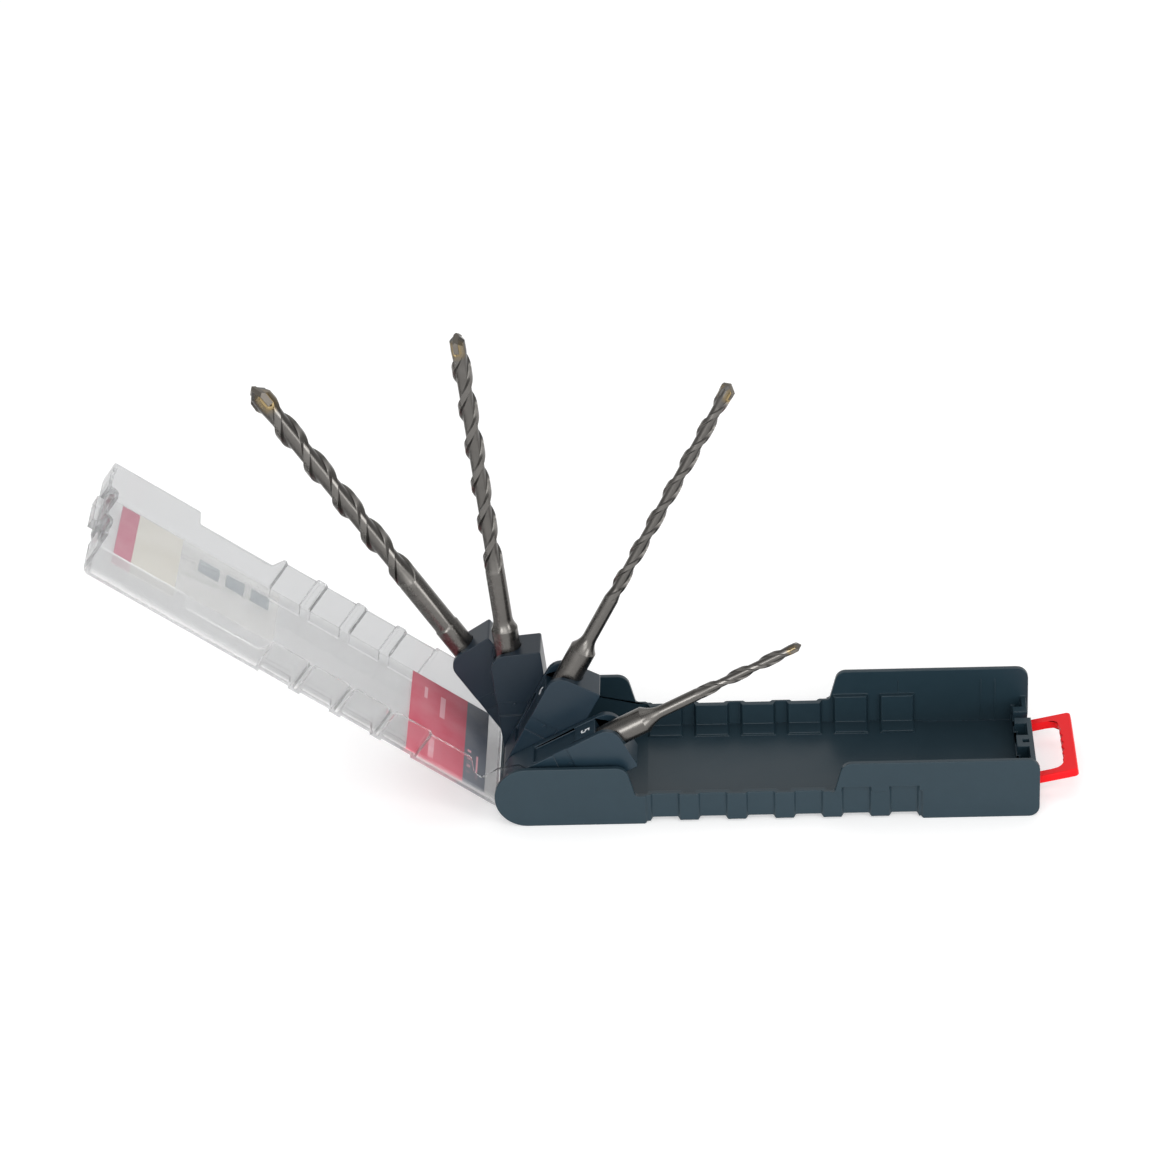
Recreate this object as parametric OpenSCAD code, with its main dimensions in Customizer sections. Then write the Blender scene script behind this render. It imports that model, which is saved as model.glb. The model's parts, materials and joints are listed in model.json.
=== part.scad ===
// Hinged drill bit case: a dark moulded tray with a clear lid, four swinging
// bit holders on one axle, four hammer drill bits and a red pull latch.
// X runs from the hinge end to the latch end, Y to the back, Z up.
// The origin is the middle of the tray's underside.

/* [Base tray] */
// Length of the tray, hinge end to latch end
base_l = 204; // [200:1:220]
// Outer width of the tray
base_w = 70; // [70:1:84]
// Height of the ears and of the latch end, also the round of the hinge end
base_h = 24.5; // [24.5:0.25:30]
// Height of the low side walls between them
low_h = 12.1; // [11:0.1:14]
// Thickness of the side walls
base_wall = 2; // [1.6:0.1:2.4]
// Thickness of the tray's floor
floor_t = 1.6; // [1.2:0.1:1.8]
// Distance from the hinge end to the foot of the ears
ear_l = 52.8; // [50:0.2:56]
// Distance from the hinge end to the foot of the high latch end
high_start = 127.4; // [120:0.2:134]
// Horizontal run of the slopes between low and high walls
slope_run = 3.3; // [2:0.1:6]
// Radius of the tray's visible corners, seen from the side
corner_r = 4; // [2:0.5:5]

/* [Grip zone and pockets] */
// Start of the set-in grip zone, from the hinge end
grip_start = 57.2; // [56.4:0.2:59]
// End of the set-in grip zone, from the hinge end
grip_end = 159.6; // [158.6:0.2:166]
// How far the grip zone is set in, on the sides and below
grip_in = 0.8; // [0.4:0.1:0.9]
// Number of pockets on each side
pocket_n = 6; // [3:1:6]
// Distance from one pocket to the next
pocket_pitch = 17.9; // [17:0.1:18]
// Middle of the first pocket, from the hinge end
pocket_first = 63.9; // [63.6:0.1:64.6]
// Width of the pockets' outer face
pocket_w = 9.4; // [8:0.2:10]
// Depth of the pockets, counted from the set-in face
pocket_d = 1.0; // [0.6:0.1:1.1]
// Height of the pockets where the wall is high
pocket_h = 14.2; // [12.5:0.1:14.6]
// How far the pockets run in under the floor
pocket_reach = 9.4; // [6:0.2:11]

/* [Hinge] */
// Radius of the axle
axle_r = 2; // [1.5:0.1:2.5]
// Radial running clearance on the axle
axle_clear = 0.05; // [0.02:0.01:0.1]
// Depth of the blind axle seats in the ears
seat_depth = 1.2; // [0.8:0.1:1.3]
// Angle of the open lid, from the shut case
lid_open = 144.6; // [120:0.1:150]

/* [Lid] */
// Sideways gap between the tray's walls and the lid
side_gap = 0.45; // [0.35:0.05:0.6]
// Thickness of the lid's walls
lid_wall = 1.5; // [1.2:0.1:1.6]
// Thickness of the lid's top sheet
lid_sheet = 1.4; // [1:0.1:1.6]
// How far the shut lid lies below the top of the tray
lid_sink = 0.65; // [0.5:0.05:1]
// How far the lid's rim hangs below the axle
rim_drop = 1.8; // [1:0.1:2.2]
// Gap between the lid's free end and the outer face of the latch end
lid_end_gap = 3.15; // [3.1:0.05:4]
// Radius of the lid's visible corners, seen from the side
lid_corner_r = 5; // [2:0.5:7]
// Radius of the lid's long edges
lid_edge_r = 2.2; // [1:0.1:2.6]

/* [Bit holders] */
// Gap between two holders, and between the holders and the lid
holder_gap = 0.3; // [0.2:0.05:0.5]
// Distance from the axle to the holders' mouths
mouth_r = 42; // [38:0.5:43]
// Height of the holders above the axle when shut
holder_top = 9.5; // [9:0.1:9.6]
// Depth of the holders below the axle when shut
holder_bottom = 10; // [8:0.1:10.2]
// Thickness of the holders' cheeks
cheek_t = 2.3; // [1.8:0.1:2.4]
// Offset of the bits from the axle, towards the lid
bit_offset = 2.7; // [1.5:0.1:2.9]
// Length of the open mouth in front of the number bridge
open_mouth = 8; // [5:0.5:10]
// Length of the bridge that carries the number
bridge_l = 8.5; // [6:0.5:12]

/* [Drill bits] */
// Radius of the bits' round shanks
shank_r = 5; // [4.8:0.1:5]
// Radial clearance of the shanks in their holders
shank_clear = 0.1; // [0.05:0.01:0.15]
// Distance from the axle to the shoulder where the shanks end
shoulder_r = 51; // [48:0.5:56]
// Overall length of the three long bits
long_bit = 160; // [150:1:162]
// Overall length of the short bit
short_bit = 110; // [100:1:120]
// Fluted length of the long bits
long_flute = 100; // [80:1:104]
// Fluted length of the short bit
short_flute = 44; // [30:1:50]

/* [Latch] */
// Width of the red pull latch
latch_w = 42.1; // [38:0.1:42.6]
// Width of each of its arms
latch_arm = 3.75; // [3:0.05:3.8]
// Thickness of the pull latch
latch_t = 3.2; // [2.4:0.1:3.2]
// Length of the pull latch, from its pivot to its outer edge
latch_l = 17.1; // [16:0.1:17.3]
// Width of the latch's outer bar
latch_bar = 4.7; // [3.5:0.1:5]
// Angle of the resting latch above the level
latch_tilt = 12; // [8:1:20]
// Radius of the latch's pivot pins
latch_pin_r = 0.9; // [0.7:0.05:1]

/* [Hidden] */

eps = 0.01;
cut = 1;                 // how far a cutter stands out past the face it opens
round_steps = 6;         // straight pieces in each rounded corner
slice_fn = 64;           // facets of round cutters and pins, true circles as solids

tray_dark = [0.20, 0.25, 0.30];
holder_tones = [[0.15, 0.18, 0.23], [0.17, 0.20, 0.25], [0.18, 0.24, 0.28], [0.19, 0.25, 0.30]];
clear_plastic = [0.85, 0.88, 0.90, 0.35];
steel = [0.50, 0.48, 0.45];
carbide_grey = [0.62, 0.58, 0.48];
latch_red = [0.86, 0.10, 0.14];

// The hinge axis is the centre of the tray's round end
hinge_x = -base_l / 2 + base_h / 2;
hinge_z = base_h / 2;
end_r = base_h / 2;
inner_half = base_w / 2 - base_wall;

// The tray's curved end wall, and the stop that it makes for the lid
end_wall = 1.6;
hinge_wall_set = 0.1;    // how far it is set in from the ears' round ends
stop_angle = 57;         // edge of the lid's arms, as an angle round the axle
stop_gap = 0.6;          // play of the open lid on its stop, in degrees

// Grip zone and pockets
grip_floor = grip_in + floor_t;
floor_ramp = 5;                     // run of the slopes up to the raised floor
boss_in = pocket_d + grip_in + 0.3; // how far the bosses stand out inside
pocket_slope = 0.8;      // run of the pockets' sloping ends
boss_extra = 1.3;        // how much wider the bosses are inside than the pockets outside
function pocket_x(k) = -base_l / 2 + pocket_first + k * pocket_pitch;

// Lid sizes, u along the lid from the axle and w out through its top sheet
lid_half = inner_half - side_gap;
lid_in = lid_half - lid_wall;
lid_top = base_h / 2 - lid_sink;
lid_under = lid_top - lid_sheet;
lid_end = base_l - base_h / 2 - lid_end_gap;
sheet_start = lid_top / tan(stop_angle);
post_gap = 0.3;          // gap between the shut lid and what it covers
lid_pocket_n = 4;        // the pockets beside the low walls go through to the lid
high_rim = 2.8;          // where the lid's rim is raised over the high walls' pockets, above the axle
high_rim_start = high_start - end_r + 1;
last_pocket_end = pocket_first + (pocket_n - 1) * pocket_pitch + pocket_w / 2 + boss_extra + pocket_slope;
high_rim_end = max(grip_end + 0.6, last_pocket_end) - end_r + 0.3;
rim_slope = 2.5;         // run of the slopes at both ends of the raised rim
lid_pocket_w = pocket_w + boss_extra * 2 + 2 * post_gap;
label_t = 0.3;
label_margin = 2.45;     // from the hinge label's edges to the lid's side walls
hinge_label_start = 13;
hinge_label_l = 34.8;
front_label_gap = 11.1;  // from the front label to the lid's free end
front_label_l = 69.5;
front_label_w = 36.8;
front_label_margin = 3.65; // from its back edge to the lid's back wall

// Holders and bits; the first is at the back and swings furthest
holder_half = lid_in - holder_gap;
holder_t = (2 * holder_half - 3 * holder_gap) / 4;
foot_l = 14;             // level part of the holders' underside, behind the mouth
holder_open = [123, 95.8, 62.4, 27.6];
bit_size = [10, 8, 6, 5];
seat_r = [16, 15, 17.2, 8.3];      // where each bit's end rests, from the axle
bit_length = [long_bit, long_bit, long_bit, short_bit];
flute_length = [long_flute, long_flute, long_flute, short_flute];
taper_length = [1.4, 4.6, 5.8, 7.4];
flute_pitch = [36, 32, 28, 27];
shoulder_out = [0.8, -0.9, 2.3, 1]; // how far each shoulder lies beyond shoulder_r
plate_turn = [-55, 81, -45, -90];  // how far each bit is turned round its own axis
land_turn = [45, 35, 15, 60];      // turn of the flutes' start against the carbide
body_share = 0.92;                 // diameter of the fluted steel, of the bit's size
core_share = 0.32;                 // depth of each flute, of the fluted radius
land_in = 0.04;                    // how far the lands lie inside the neck's surface
carbide_share = 0.25;              // thickness of the carbide, of the bit's size
shank_slot_w = 2.5;                // the two slots of the shank
shank_slot_l = 20;
shank_slot_d = 1;
ball_r = 1.8;                      // the two ball grooves of the shank
ball_out = 0.6;
ball_start = 9;
ball_l = 14;

// Marks of the holders' cheeks, in each holder's own frame
step_start = 8;          // start of the step behind the number bridge
step_skin = 0.6;         // plastic left over the shank below it
band_x = 18.8;           // shallow band across the cheeks
band_z = 4;
band_w = 6;
band_h = 12;
band_d = 0.5;
band_lean = 5;
dot_x = 20.1;            // small round boss in the band
dot_z = 2.8;
dot_r = 0.7;
dot_h = 0.5;

function holder_y(i) = holder_half - holder_t / 2 - i * (holder_t + holder_gap);

// Latch end of the tray
end_x = base_l / 2;
post_h = 12;             // height of the posts at the latch end
skin_t = 2;              // the outer skin of the latch end
box_l = 6.5;             // from the inner wall of the latch end to its outer face
box_wall = 1.2;
box_wall_h = 8;
sill_h = 4.9;            // sill that the latch's arms rest on
skin_half = 17.05;       // half width of the skin between the latch's arms
slot_out = latch_w / 2 + 0.25;
plateau_half = 4.3;      // middle post
post_in = 12.9;          // inner side of the posts that hold the latch's pins
corner_in = 25.4;        // inner side of the corner pockets
tongue_gap = 0.25;       // gap between the lid's tongues and the skin in front of them
corner_set = 1;        // how far the corners of the latch end are set in
latch_pivot_x = end_x - 1.25;
latch_pivot_z = 6.66;
latch_pin_clear = 0.05;
latch_pin_l = 2.6;
lip_t = 0.6;             // lip on the sill that the resting latch lies on
lip_h = latch_pivot_z + (end_x - lip_t - latch_pivot_x) * tan(latch_tilt)
        - latch_t / 2 / cos(latch_tilt) - latch_pin_clear;
catch_half = 9;          // the lid's catch, behind the standing latch
catch_l = 3;
catch_low = 1.8;
latch_wave = 0.45;
catch_high = latch_pivot_z + latch_l - latch_bar - latch_wave - post_gap - hinge_z;

// Replace each corner [x, y, r] of an outline by an arc of radius r
function unit(v) = v / norm(v);
function corner_arc(a, p, b) =
    let (r = p[2], c = [p[0], p[1]], ua = unit([a[0], a[1]] - c), ub = unit([b[0], b[1]] - c),
         turn = acos(max(-1, min(1, ua * ub))))
    r <= 0 || turn > 179 ? [c] :
    let (d = r / tan(turn / 2), mid = c + unit(ua + ub) * r / sin(turn / 2),
         s = c + ua * d - mid, e = c + ub * d - mid, a0 = atan2(s[1], s[0]),
         raw = atan2(e[1], e[0]) - a0, sweep = raw > 180 ? raw - 360 : raw < -180 ? raw + 360 : raw)
    [for (k = [0 : round_steps]) mid + r * [cos(a0 + sweep * k / round_steps),
                                            sin(a0 + sweep * k / round_steps)]];
function rounded(pts) =
    let (n = len(pts))
    [for (i = [0 : n - 1]) each corner_arc(pts[(i + n - 1) % n], pts[i], pts[(i + 1) % n])];

// Arc of radius r round the origin, from angle a0 to a1 in steps of about 10 degrees
function arc(r, a0, a1) =
    let (n = ceil(abs(a1 - a0) / 10))
    [for (k = [0 : n]) r * [cos(a0 + (a1 - a0) * k / n), sin(a0 + (a1 - a0) * k / n)]];

// Stand an outline drawn in X and Z upright, t thick and centred on y
module upright(y, t) {
    translate([0, y + t / 2, 0]) rotate([90, 0, 0]) linear_extrude(t) children();
}

// Put what is drawn in a swinging part's own frame where it lies, opened by a
module swung(a) {
    translate([hinge_x, 0, hinge_z]) rotate([0, -a, 0]) children();
}

module axle_bore(t) {
    rotate([90, 0, 0]) cylinder(r = axle_r + axle_clear, h = t, center = true, $fn = slice_fn);
}

// ---- Base tray ----

// Side wall as seen from the front
module side_outline() {
    x0 = hinge_x;
    ear = -base_l / 2 + ear_l;
    high = -base_l / 2 + high_start;
    union() {
        translate([x0, hinge_z]) circle(r = end_r, $fn = 96);
        polygon(rounded([
            [x0, 0, 0], [end_x, 0, corner_r], [end_x, base_h, corner_r + 0.5],
            [high + slope_run, base_h, corner_r], [high, low_h, 1.5],
            [ear, low_h, 1.5], [ear - slope_run, base_h, corner_r + 1], [x0, base_h, 0]]));
    }
}

// Plan outline of a pocket: w wide at its bottom, d deep, with sloping ends
module pocket_plan(w, d) {
    polygon([[-w / 2 - pocket_slope, -cut], [-w / 2 - pocket_slope, 0], [-w / 2, d],
             [w / 2, d], [w / 2 + pocket_slope, 0], [w / 2 + pocket_slope, -cut]]);
}

// Grooves outside the wall and under the floor, for one side of the tray
module pocket_cuts() {
    face = base_w / 2 - grip_in;
    for (k = [0 : pocket_n - 1]) translate([pocket_x(k), 0, 0]) {
        translate([0, -face, -cut]) linear_extrude(pocket_h + cut) pocket_plan(pocket_w, pocket_d);
        translate([0, -face + pocket_reach, grip_in]) rotate([90, 0, 0])
            linear_extrude(pocket_reach + cut) pocket_plan(pocket_w, pocket_d);
    }
}

// Bosses that those grooves make inside, for one side of the tray
module pocket_bosses() {
    w = pocket_w + 2 * boss_extra;
    for (k = [0 : pocket_n - 1]) translate([pocket_x(k), 0, 0]) {
        h = k * pocket_pitch + pocket_first + w / 2 < high_start ? low_h : pocket_h + post_gap;
        translate([0, -inner_half, 0]) linear_extrude(h)
            polygon([[-w / 2 - pocket_slope, -eps], [-w / 2, boss_in], [w / 2, boss_in],
                     [w / 2 + pocket_slope, -eps]]);
        translate([0, -inner_half + pocket_reach, grip_floor]) rotate([90, 0, 0])
            linear_extrude(pocket_reach)
            polygon([[-w / 2 - pocket_slope, -eps], [-w / 2, pocket_d], [w / 2, pocket_d],
                     [w / 2 + pocket_slope, -eps]]);
    }
}

// Set-in zone between the end blocks, as a cutter for one side and below
module grip_cut() {
    x0 = -base_l / 2 + grip_start;
    x1 = -base_l / 2 + grip_end;
    l = x1 - x0;
    module lane(d) polygon([[-grip_in, -cut], [-grip_in, 0], [0, d], [l, d], [l + grip_in, 0], [l + grip_in, -cut]]);
    translate([x0, -base_w / 2, -cut]) linear_extrude(low_h + cut + eps) lane(grip_in);
    translate([x0, base_w / 2 + cut, 0]) rotate([90, 0, 0]) linear_extrude(base_w + 2 * cut) lane(grip_in);
}

// Floor, level under the ends and raised in the grip zone
module tray_floor() {
    x0 = -base_l / 2 + grip_start;
    x1 = -base_l / 2 + grip_end;
    upright(0, 2 * inner_half + eps) polygon([
        [hinge_x, 0], [end_x - skin_t / 2, 0], [end_x - skin_t / 2, floor_t], [x1 + floor_ramp, floor_t],
        [x1, grip_floor], [x0, grip_floor], [x0 - floor_ramp, floor_t], [hinge_x, floor_t]]);
}

// Curved wall that closes the hinge end below the swinging lid
module hinge_wall() {
    reach = 2 * end_r;
    a0 = stop_angle + lid_open + stop_gap;
    a1 = 272;
    translate([hinge_x, 0, hinge_z]) upright(0, 2 * inner_half + base_wall) intersection() {
        difference() {
            circle(r = end_r - hinge_wall_set, $fn = 96);
            circle(r = end_r - end_wall, $fn = 96);
        }
        polygon([[0, 0], reach * [cos(a0), sin(a0)], reach * [cos((a0 + a1) / 2), sin((a0 + a1) / 2)],
                 reach * [cos(a1), sin(a1)]]);
    }
}

// Posts, pockets and slots of the latch end
module latch_end() {
    inner_x = end_x - box_l;
    module wall(x0, x1, y0, y1, h) {
        for (s = [-1, 1]) translate([x0, min(s * y0, s * y1), 0]) cube([x1 - x0, y1 - y0, h]);
    }
    // inner wall, outer skin, set-in corners, and the sills below the latch's arms with their lips
    wall(inner_x, inner_x + box_wall, 0, inner_half + eps, box_wall_h);
    wall(end_x - skin_t, end_x, 0, skin_half, post_h);
    wall(end_x - lid_end_gap + tongue_gap, end_x - corner_set, slot_out, inner_half + eps, post_h);
    wall(inner_x + eps, end_x, skin_half - eps, slot_out + eps, sill_h);
    wall(end_x - lip_t, end_x, skin_half - eps, slot_out + eps, lip_h);
    // middle post, pin posts and outer posts
    wall(inner_x + eps, end_x - skin_t + eps, 0, plateau_half, post_h);
    wall(inner_x + eps, end_x - skin_t + eps, post_in, skin_half, post_h);
    wall(inner_x + eps, end_x - corner_set - eps, slot_out, corner_in, post_h);
}

// Moulded ribs inside the high walls: distance from the latch end and foot
module wall_ribs() {
    rib = 0.2;
    top = base_h - 4.5;
    for (r = [[12.9, floor_t], [18.3, floor_t], [50.1, pocket_h]])
        for (s = [-1, 1])
            translate([end_x - r[0] - rib, s * inner_half - rib, r[1]]) cube([2 * rib, 2 * rib, top - r[1]]);
}

module base_tray() color(tray_dark) difference() {
    union() {
        difference() {
            for (s = [-1, 1]) upright(s * (base_w - base_wall) / 2, base_wall) side_outline();
            grip_cut();
            mirror([0, 1, 0]) grip_cut();
        }
        difference() {
            tray_floor();
            grip_cut();
        }
        pocket_bosses();
        mirror([0, 1, 0]) pocket_bosses();
        hinge_wall();
        latch_end();
        wall_ribs();
    }
    pocket_cuts();
    mirror([0, 1, 0]) pocket_cuts();
    // blind seats for the axle
    translate([hinge_x, 0, hinge_z]) rotate([90, 0, 0])
        cylinder(r = axle_r + axle_clear, h = 2 * (inner_half + seat_depth), center = true, $fn = slice_fn);
    // bores for the latch's pins, and room round its arms
    for (s = [-1, 1]) translate([latch_pivot_x, s * skin_half, latch_pivot_z]) rotate([s * 90, 0, 0])
        translate([0, 0, -cut])
            cylinder(r = latch_pin_r + latch_pin_clear, h = latch_pin_l + 2 * cut, $fn = slice_fn);
    // square hole in the middle post
    translate([end_x - skin_t - 1, 0, post_h - 2.5]) cube([2.4, 2.2, 5 + eps], center = true);
}

module hinge_axle() color([0.6, 0.6, 0.62])
    translate([hinge_x, 0, hinge_z]) rotate([90, 0, 0])
        cylinder(r = axle_r, h = 2 * (inner_half + seat_depth - axle_clear), center = true, $fn = slice_fn);

// ---- Lid ----

arm_r = 10.2;            // radius of the lid's arms round the axle
end_lobe = 16.5;         // inner side of the outer lobes of the lid's free end
end_bump = 8.5;          // half width of its middle bump
end_recess = 2.8;        // depth of the recesses between them
bump_set = 0.4;          // how far the bump stays behind the lobes

// Side of the lid in its own frame, with the arm round the axle
module lid_side_outline() {
    inside = arm_r - 1;      // the outline starts and ends inside the round arm
    union() {
        circle(r = arm_r, $fn = 72);
        polygon(rounded([
            [inside * cos(stop_angle), inside * sin(stop_angle), 0], [sheet_start, lid_top, 0],
            [lid_end, lid_top, lid_corner_r], [lid_end, -rim_drop, 0.8],
            [high_rim_end + rim_slope, -rim_drop, 1], [high_rim_end, high_rim, 1],
            [high_rim_start, high_rim, 1], [high_rim_start - rim_slope, -rim_drop, 1],
            [26, -rim_drop, 2], [21.8, 3.2, 1.5], [18, 3.2, 1.5], [15.2, -3.4, 1],
            [9.6, -9, 1], [0, -inside, 0], [0, 0, 0]]));
    }
}

// Cross-section of the lid with its rounded long edges
module lid_section() {
    polygon(rounded([[-lid_half, -base_h, 0], [lid_half, -base_h, 0],
                     [lid_half, lid_top, lid_edge_r], [-lid_half, lid_top, lid_edge_r]]));
}

// Plan of the free end with its lobes, drawn t inside the outer face
module lid_plan(t) {
    u = lid_end - t;
    half = [[u, lid_half + cut, 0], [u, end_lobe + t, 1], [u - end_recess, end_lobe + t - 0.5, 1],
            [u - end_recess, end_bump - t + 0.8, 1.5], [u - bump_set, end_bump - t - 0.8, 1.5]];
    polygon(rounded(concat([[-base_h, -lid_half - cut, 0]],
        [for (p = half) [p[0], -p[1], p[2]]],
        [for (k = [len(half) - 1 : -1 : 0]) half[k]],
        [[-base_h, lid_half + cut, 0]])));
}

// Shell of the lid: walls, top sheet and free end, open below
module lid_shell() {
    wall_low = post_h + post_gap - hinge_z;
    difference() {
        intersection() {
            upright(0, 2 * lid_half + 2 * cut) lid_side_outline();
            translate([-base_h, 0, 0]) rotate([90, 0, 90]) linear_extrude(base_l + base_h) lid_section();
            translate([0, 0, -base_h]) linear_extrude(2 * base_h) lid_plan(0);
        }
        translate([0, 0, -base_h]) linear_extrude(base_h + lid_under)
            intersection() {
                lid_plan(lid_sheet);
                translate([-base_h, -lid_in]) square([base_l + base_h, 2 * lid_in]);
            }
        // room for the posts of the latch end
        for (s = [-1, 1], t = [[-eps, plateau_half + post_gap], [post_in - post_gap, corner_in + post_gap]])
            translate([lid_end - base_h, min(s * t[0], s * t[1]), -base_h])
                cube([2 * base_h, t[1] - t[0], base_h + wall_low]);
    }
    // catch that the standing latch holds down
    translate([lid_end - bump_set - lid_sheet / 2, -catch_half, catch_low])
        cube([catch_l + bump_set + lid_sheet / 2 - 0.4, 2 * catch_half, catch_high - catch_low]);
}

// Pockets in the lid's edges, one side: cutters outside and bosses inside
lid_pocket_in = inner_half - boss_in - post_gap;    // outer face of the lid's pockets
lid_pocket_d = lid_half - lid_pocket_in;

module lid_pocket_cuts() {
    for (k = [0 : lid_pocket_n - 1]) translate([pocket_x(k) - hinge_x, 0, 0]) {
        translate([0, -lid_half, -rim_drop - cut]) linear_extrude(lid_top + rim_drop + 2 * cut)
            pocket_plan(lid_pocket_w, lid_pocket_d);
        translate([0, -lid_half + pocket_reach, lid_top]) rotate([-90, 0, 0]) mirror([0, 0, 1])
            linear_extrude(pocket_reach + cut) pocket_plan(lid_pocket_w, lid_sheet / 2);
    }
}

module lid_pocket_bosses() {
    w = lid_pocket_w + 2 * boss_extra;
    for (k = [0 : lid_pocket_n - 1]) translate([pocket_x(k) - hinge_x, 0, 0])
        translate([0, -lid_in, -rim_drop]) linear_extrude(lid_under + rim_drop + eps)
            polygon([[-w / 2 - pocket_slope, -eps], [-w / 2, lid_pocket_d], [w / 2, lid_pocket_d],
                     [w / 2 + pocket_slope, -eps]]);
}

module lid_cover() color(clear_plastic) swung(lid_open) difference() {
    union() {
        lid_shell();
        lid_pocket_bosses();
        mirror([0, 1, 0]) lid_pocket_bosses();
    }
    lid_pocket_cuts();
    mirror([0, 1, 0]) lid_pocket_cuts();
    axle_bore(base_w);
}

// Printed sheets under the lid's top: start and end along the lid, and two edges
module label(u0, u1, y0, y1) swung(lid_open)
    translate([u0, y0, lid_under - label_t]) cube([u1 - u0, y1 - y0, label_t]);

module hinge_label() color([0.72, 0.15, 0.25])
    label(hinge_label_start, hinge_label_start + hinge_label_l, label_margin - lid_in, lid_in - label_margin);
module front_label() color([0.92, 0.90, 0.88])
    label(lid_end - front_label_gap - front_label_l, lid_end - front_label_gap,
          lid_in - front_label_margin - front_label_w, lid_in - front_label_margin);

// ---- Bit holders ----

// Cheek outline in the holder's own frame
module holder_outline() {
    union() {
        circle(r = holder_top - 0.1, $fn = 72);
        polygon(rounded([
            [0, holder_top - 0.1, 0], [6, holder_top, 0], [mouth_r, holder_top, 6],
            [mouth_r, -holder_bottom, 0.8], [mouth_r - foot_l, -holder_bottom, 2],
            [0, -holder_top + 0.1, 0]]));
    }
}

module holder(i) color(holder_tones[i]) swung(holder_open[i]) translate([0, holder_y(i), 0]) {
    inner = holder_t / 2 - cheek_t;
    bridge_top = holder_top - 0.3;
    bridge_x = mouth_r - open_mouth - bridge_l;
    difference() {
        upright(0, holder_t) holder_outline();
        axle_bore(base_w);
        // round seat for the shank
        translate([seat_r[i], 0, bit_offset]) rotate([0, 90, 0])
            cylinder(r = shank_r + shank_clear, h = base_l, $fn = slice_fn);
        // open mouth above it
        translate([mouth_r - open_mouth, -inner, bit_offset])
            cube([open_mouth + cut, 2 * inner, holder_top]);
        // top of the number bridge, and the step behind it
        translate([bridge_x - eps, -inner, bridge_top]) cube([bridge_l + 2 * eps, 2 * inner, cut]);
        translate([step_start, -inner, bit_offset + shank_r + shank_clear + step_skin])
            cube([bridge_x - step_start, 2 * inner, holder_top]);
        // shallow band across the cheeks
        for (s = [-1, 1]) translate([band_x, s * holder_t / 2, band_z]) rotate([0, band_lean, 0])
            cube([band_w, 2 * band_d, band_h], center = true);
    }
    // small round bosses in that band
    for (s = [-1, 1]) translate([dot_x, s * (holder_t / 2 - band_d + dot_h / 2 - 0.2), dot_z]) rotate([90, 0, 0])
        cylinder(r = dot_r, h = dot_h, center = true, $fn = slice_fn);
}

module holder_10() holder(0);
module holder_8() holder(1);
module holder_6() holder(2);
module holder_5() holder(3);

// ---- Drill bits ----

// Put a bit drawn along Z, with its shank end at the origin, in holder i
module in_holder(i) swung(holder_open[i])
    translate([seat_r[i], holder_y(i), bit_offset]) rotate([0, 90, 0]) rotate([0, 0, plate_turn[i]]) children();

// Cross-section of the flutes: two narrow lands on a round core
module flute_section(r) {
    land = [0, 12, 24, 36];              // angles round the bit's axis
    groove = [52, 76, 100, 124, 148, 168];
    core_r = r * (1 - core_share);
    polygon([for (s = [0, 180]) each concat(
        [for (a = land) r * [cos(a + s), sin(a + s)]],
        [for (a = groove) core_r * [cos(a + s), sin(a + s)]])]);
}

// Slots and ball grooves of the shank
module shank_cuts() {
    for (s = [-1, 1]) {
        translate([s * shank_r, 0, shank_slot_l / 2 - cut])
            cube([2 * shank_slot_d, shank_slot_w, shank_slot_l + 2 * cut], center = true);
        translate([0, s * (shank_r + ball_out), ball_start]) cylinder(r = ball_r, h = ball_l, $fn = 32);
    }
}

module bit(i) {
    d = bit_size[i];
    body_r = d * body_share / 2;
    full = bit_length[i];
    shank_l = shoulder_r + shoulder_out[i] - seat_r[i];
    flutes = flute_length[i];
    head_l = 0.9 * d;
    color(steel) in_holder(i) difference() {
        union() {
            cylinder(r = shank_r, h = shank_l, $fn = slice_fn);
            translate([0, 0, shank_l - eps])
                cylinder(r1 = shank_r, r2 = body_r, h = taper_length[i] + eps, $fn = slice_fn);
            cylinder(r = body_r, h = full - flutes, $fn = slice_fn);
            translate([0, 0, full - flutes - eps]) rotate([0, 0, land_turn[i]])
                linear_extrude(flutes - head_l + 2 * eps, twist = -360 * (flutes - head_l) / flute_pitch[i],
                               slices = ceil(14 * (flutes - head_l) / flute_pitch[i]))
                    flute_section(body_r - land_in);
            translate([0, 0, full - head_l]) cylinder(r = body_r * 0.93, h = head_l - 0.3 * d, $fn = 32);
            translate([0, 0, full - 0.3 * d - eps])
                cylinder(r1 = body_r * 0.93, r2 = 0.12 * d, h = 0.27 * d, $fn = 32);
        }
        shank_cuts();
        translate([0, 0, full - 0.45 * d]) cube([2 * d, carbide_share * d, 0.9 * d + 2 * eps], center = true);
    }
}

// Carbide plate across the head, pointed like a roof
module carbide(i) {
    d = bit_size[i];
    t = carbide_share * d;
    color(carbide_grey) in_holder(i) translate([0, t / 2, bit_length[i] - 0.9 * d]) rotate([90, 0, 0])
        linear_extrude(t) polygon([[-d / 2 * 0.96, eps], [-d / 2, 0.3 * d], [-d / 2, 0.62 * d],
                                   [0, 0.9 * d], [d / 2, 0.62 * d], [d / 2, 0.3 * d], [d / 2 * 0.96, eps]]);
}

module bit_10() bit(0);
module bit_8() bit(1);
module bit_6() bit(2);
module bit_5() bit(3);
module carbide_10() carbide(0);
module carbide_8() carbide(1);
module carbide_6() carbide(2);
module carbide_5() carbide(3);

// ---- Pull latch ----

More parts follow.
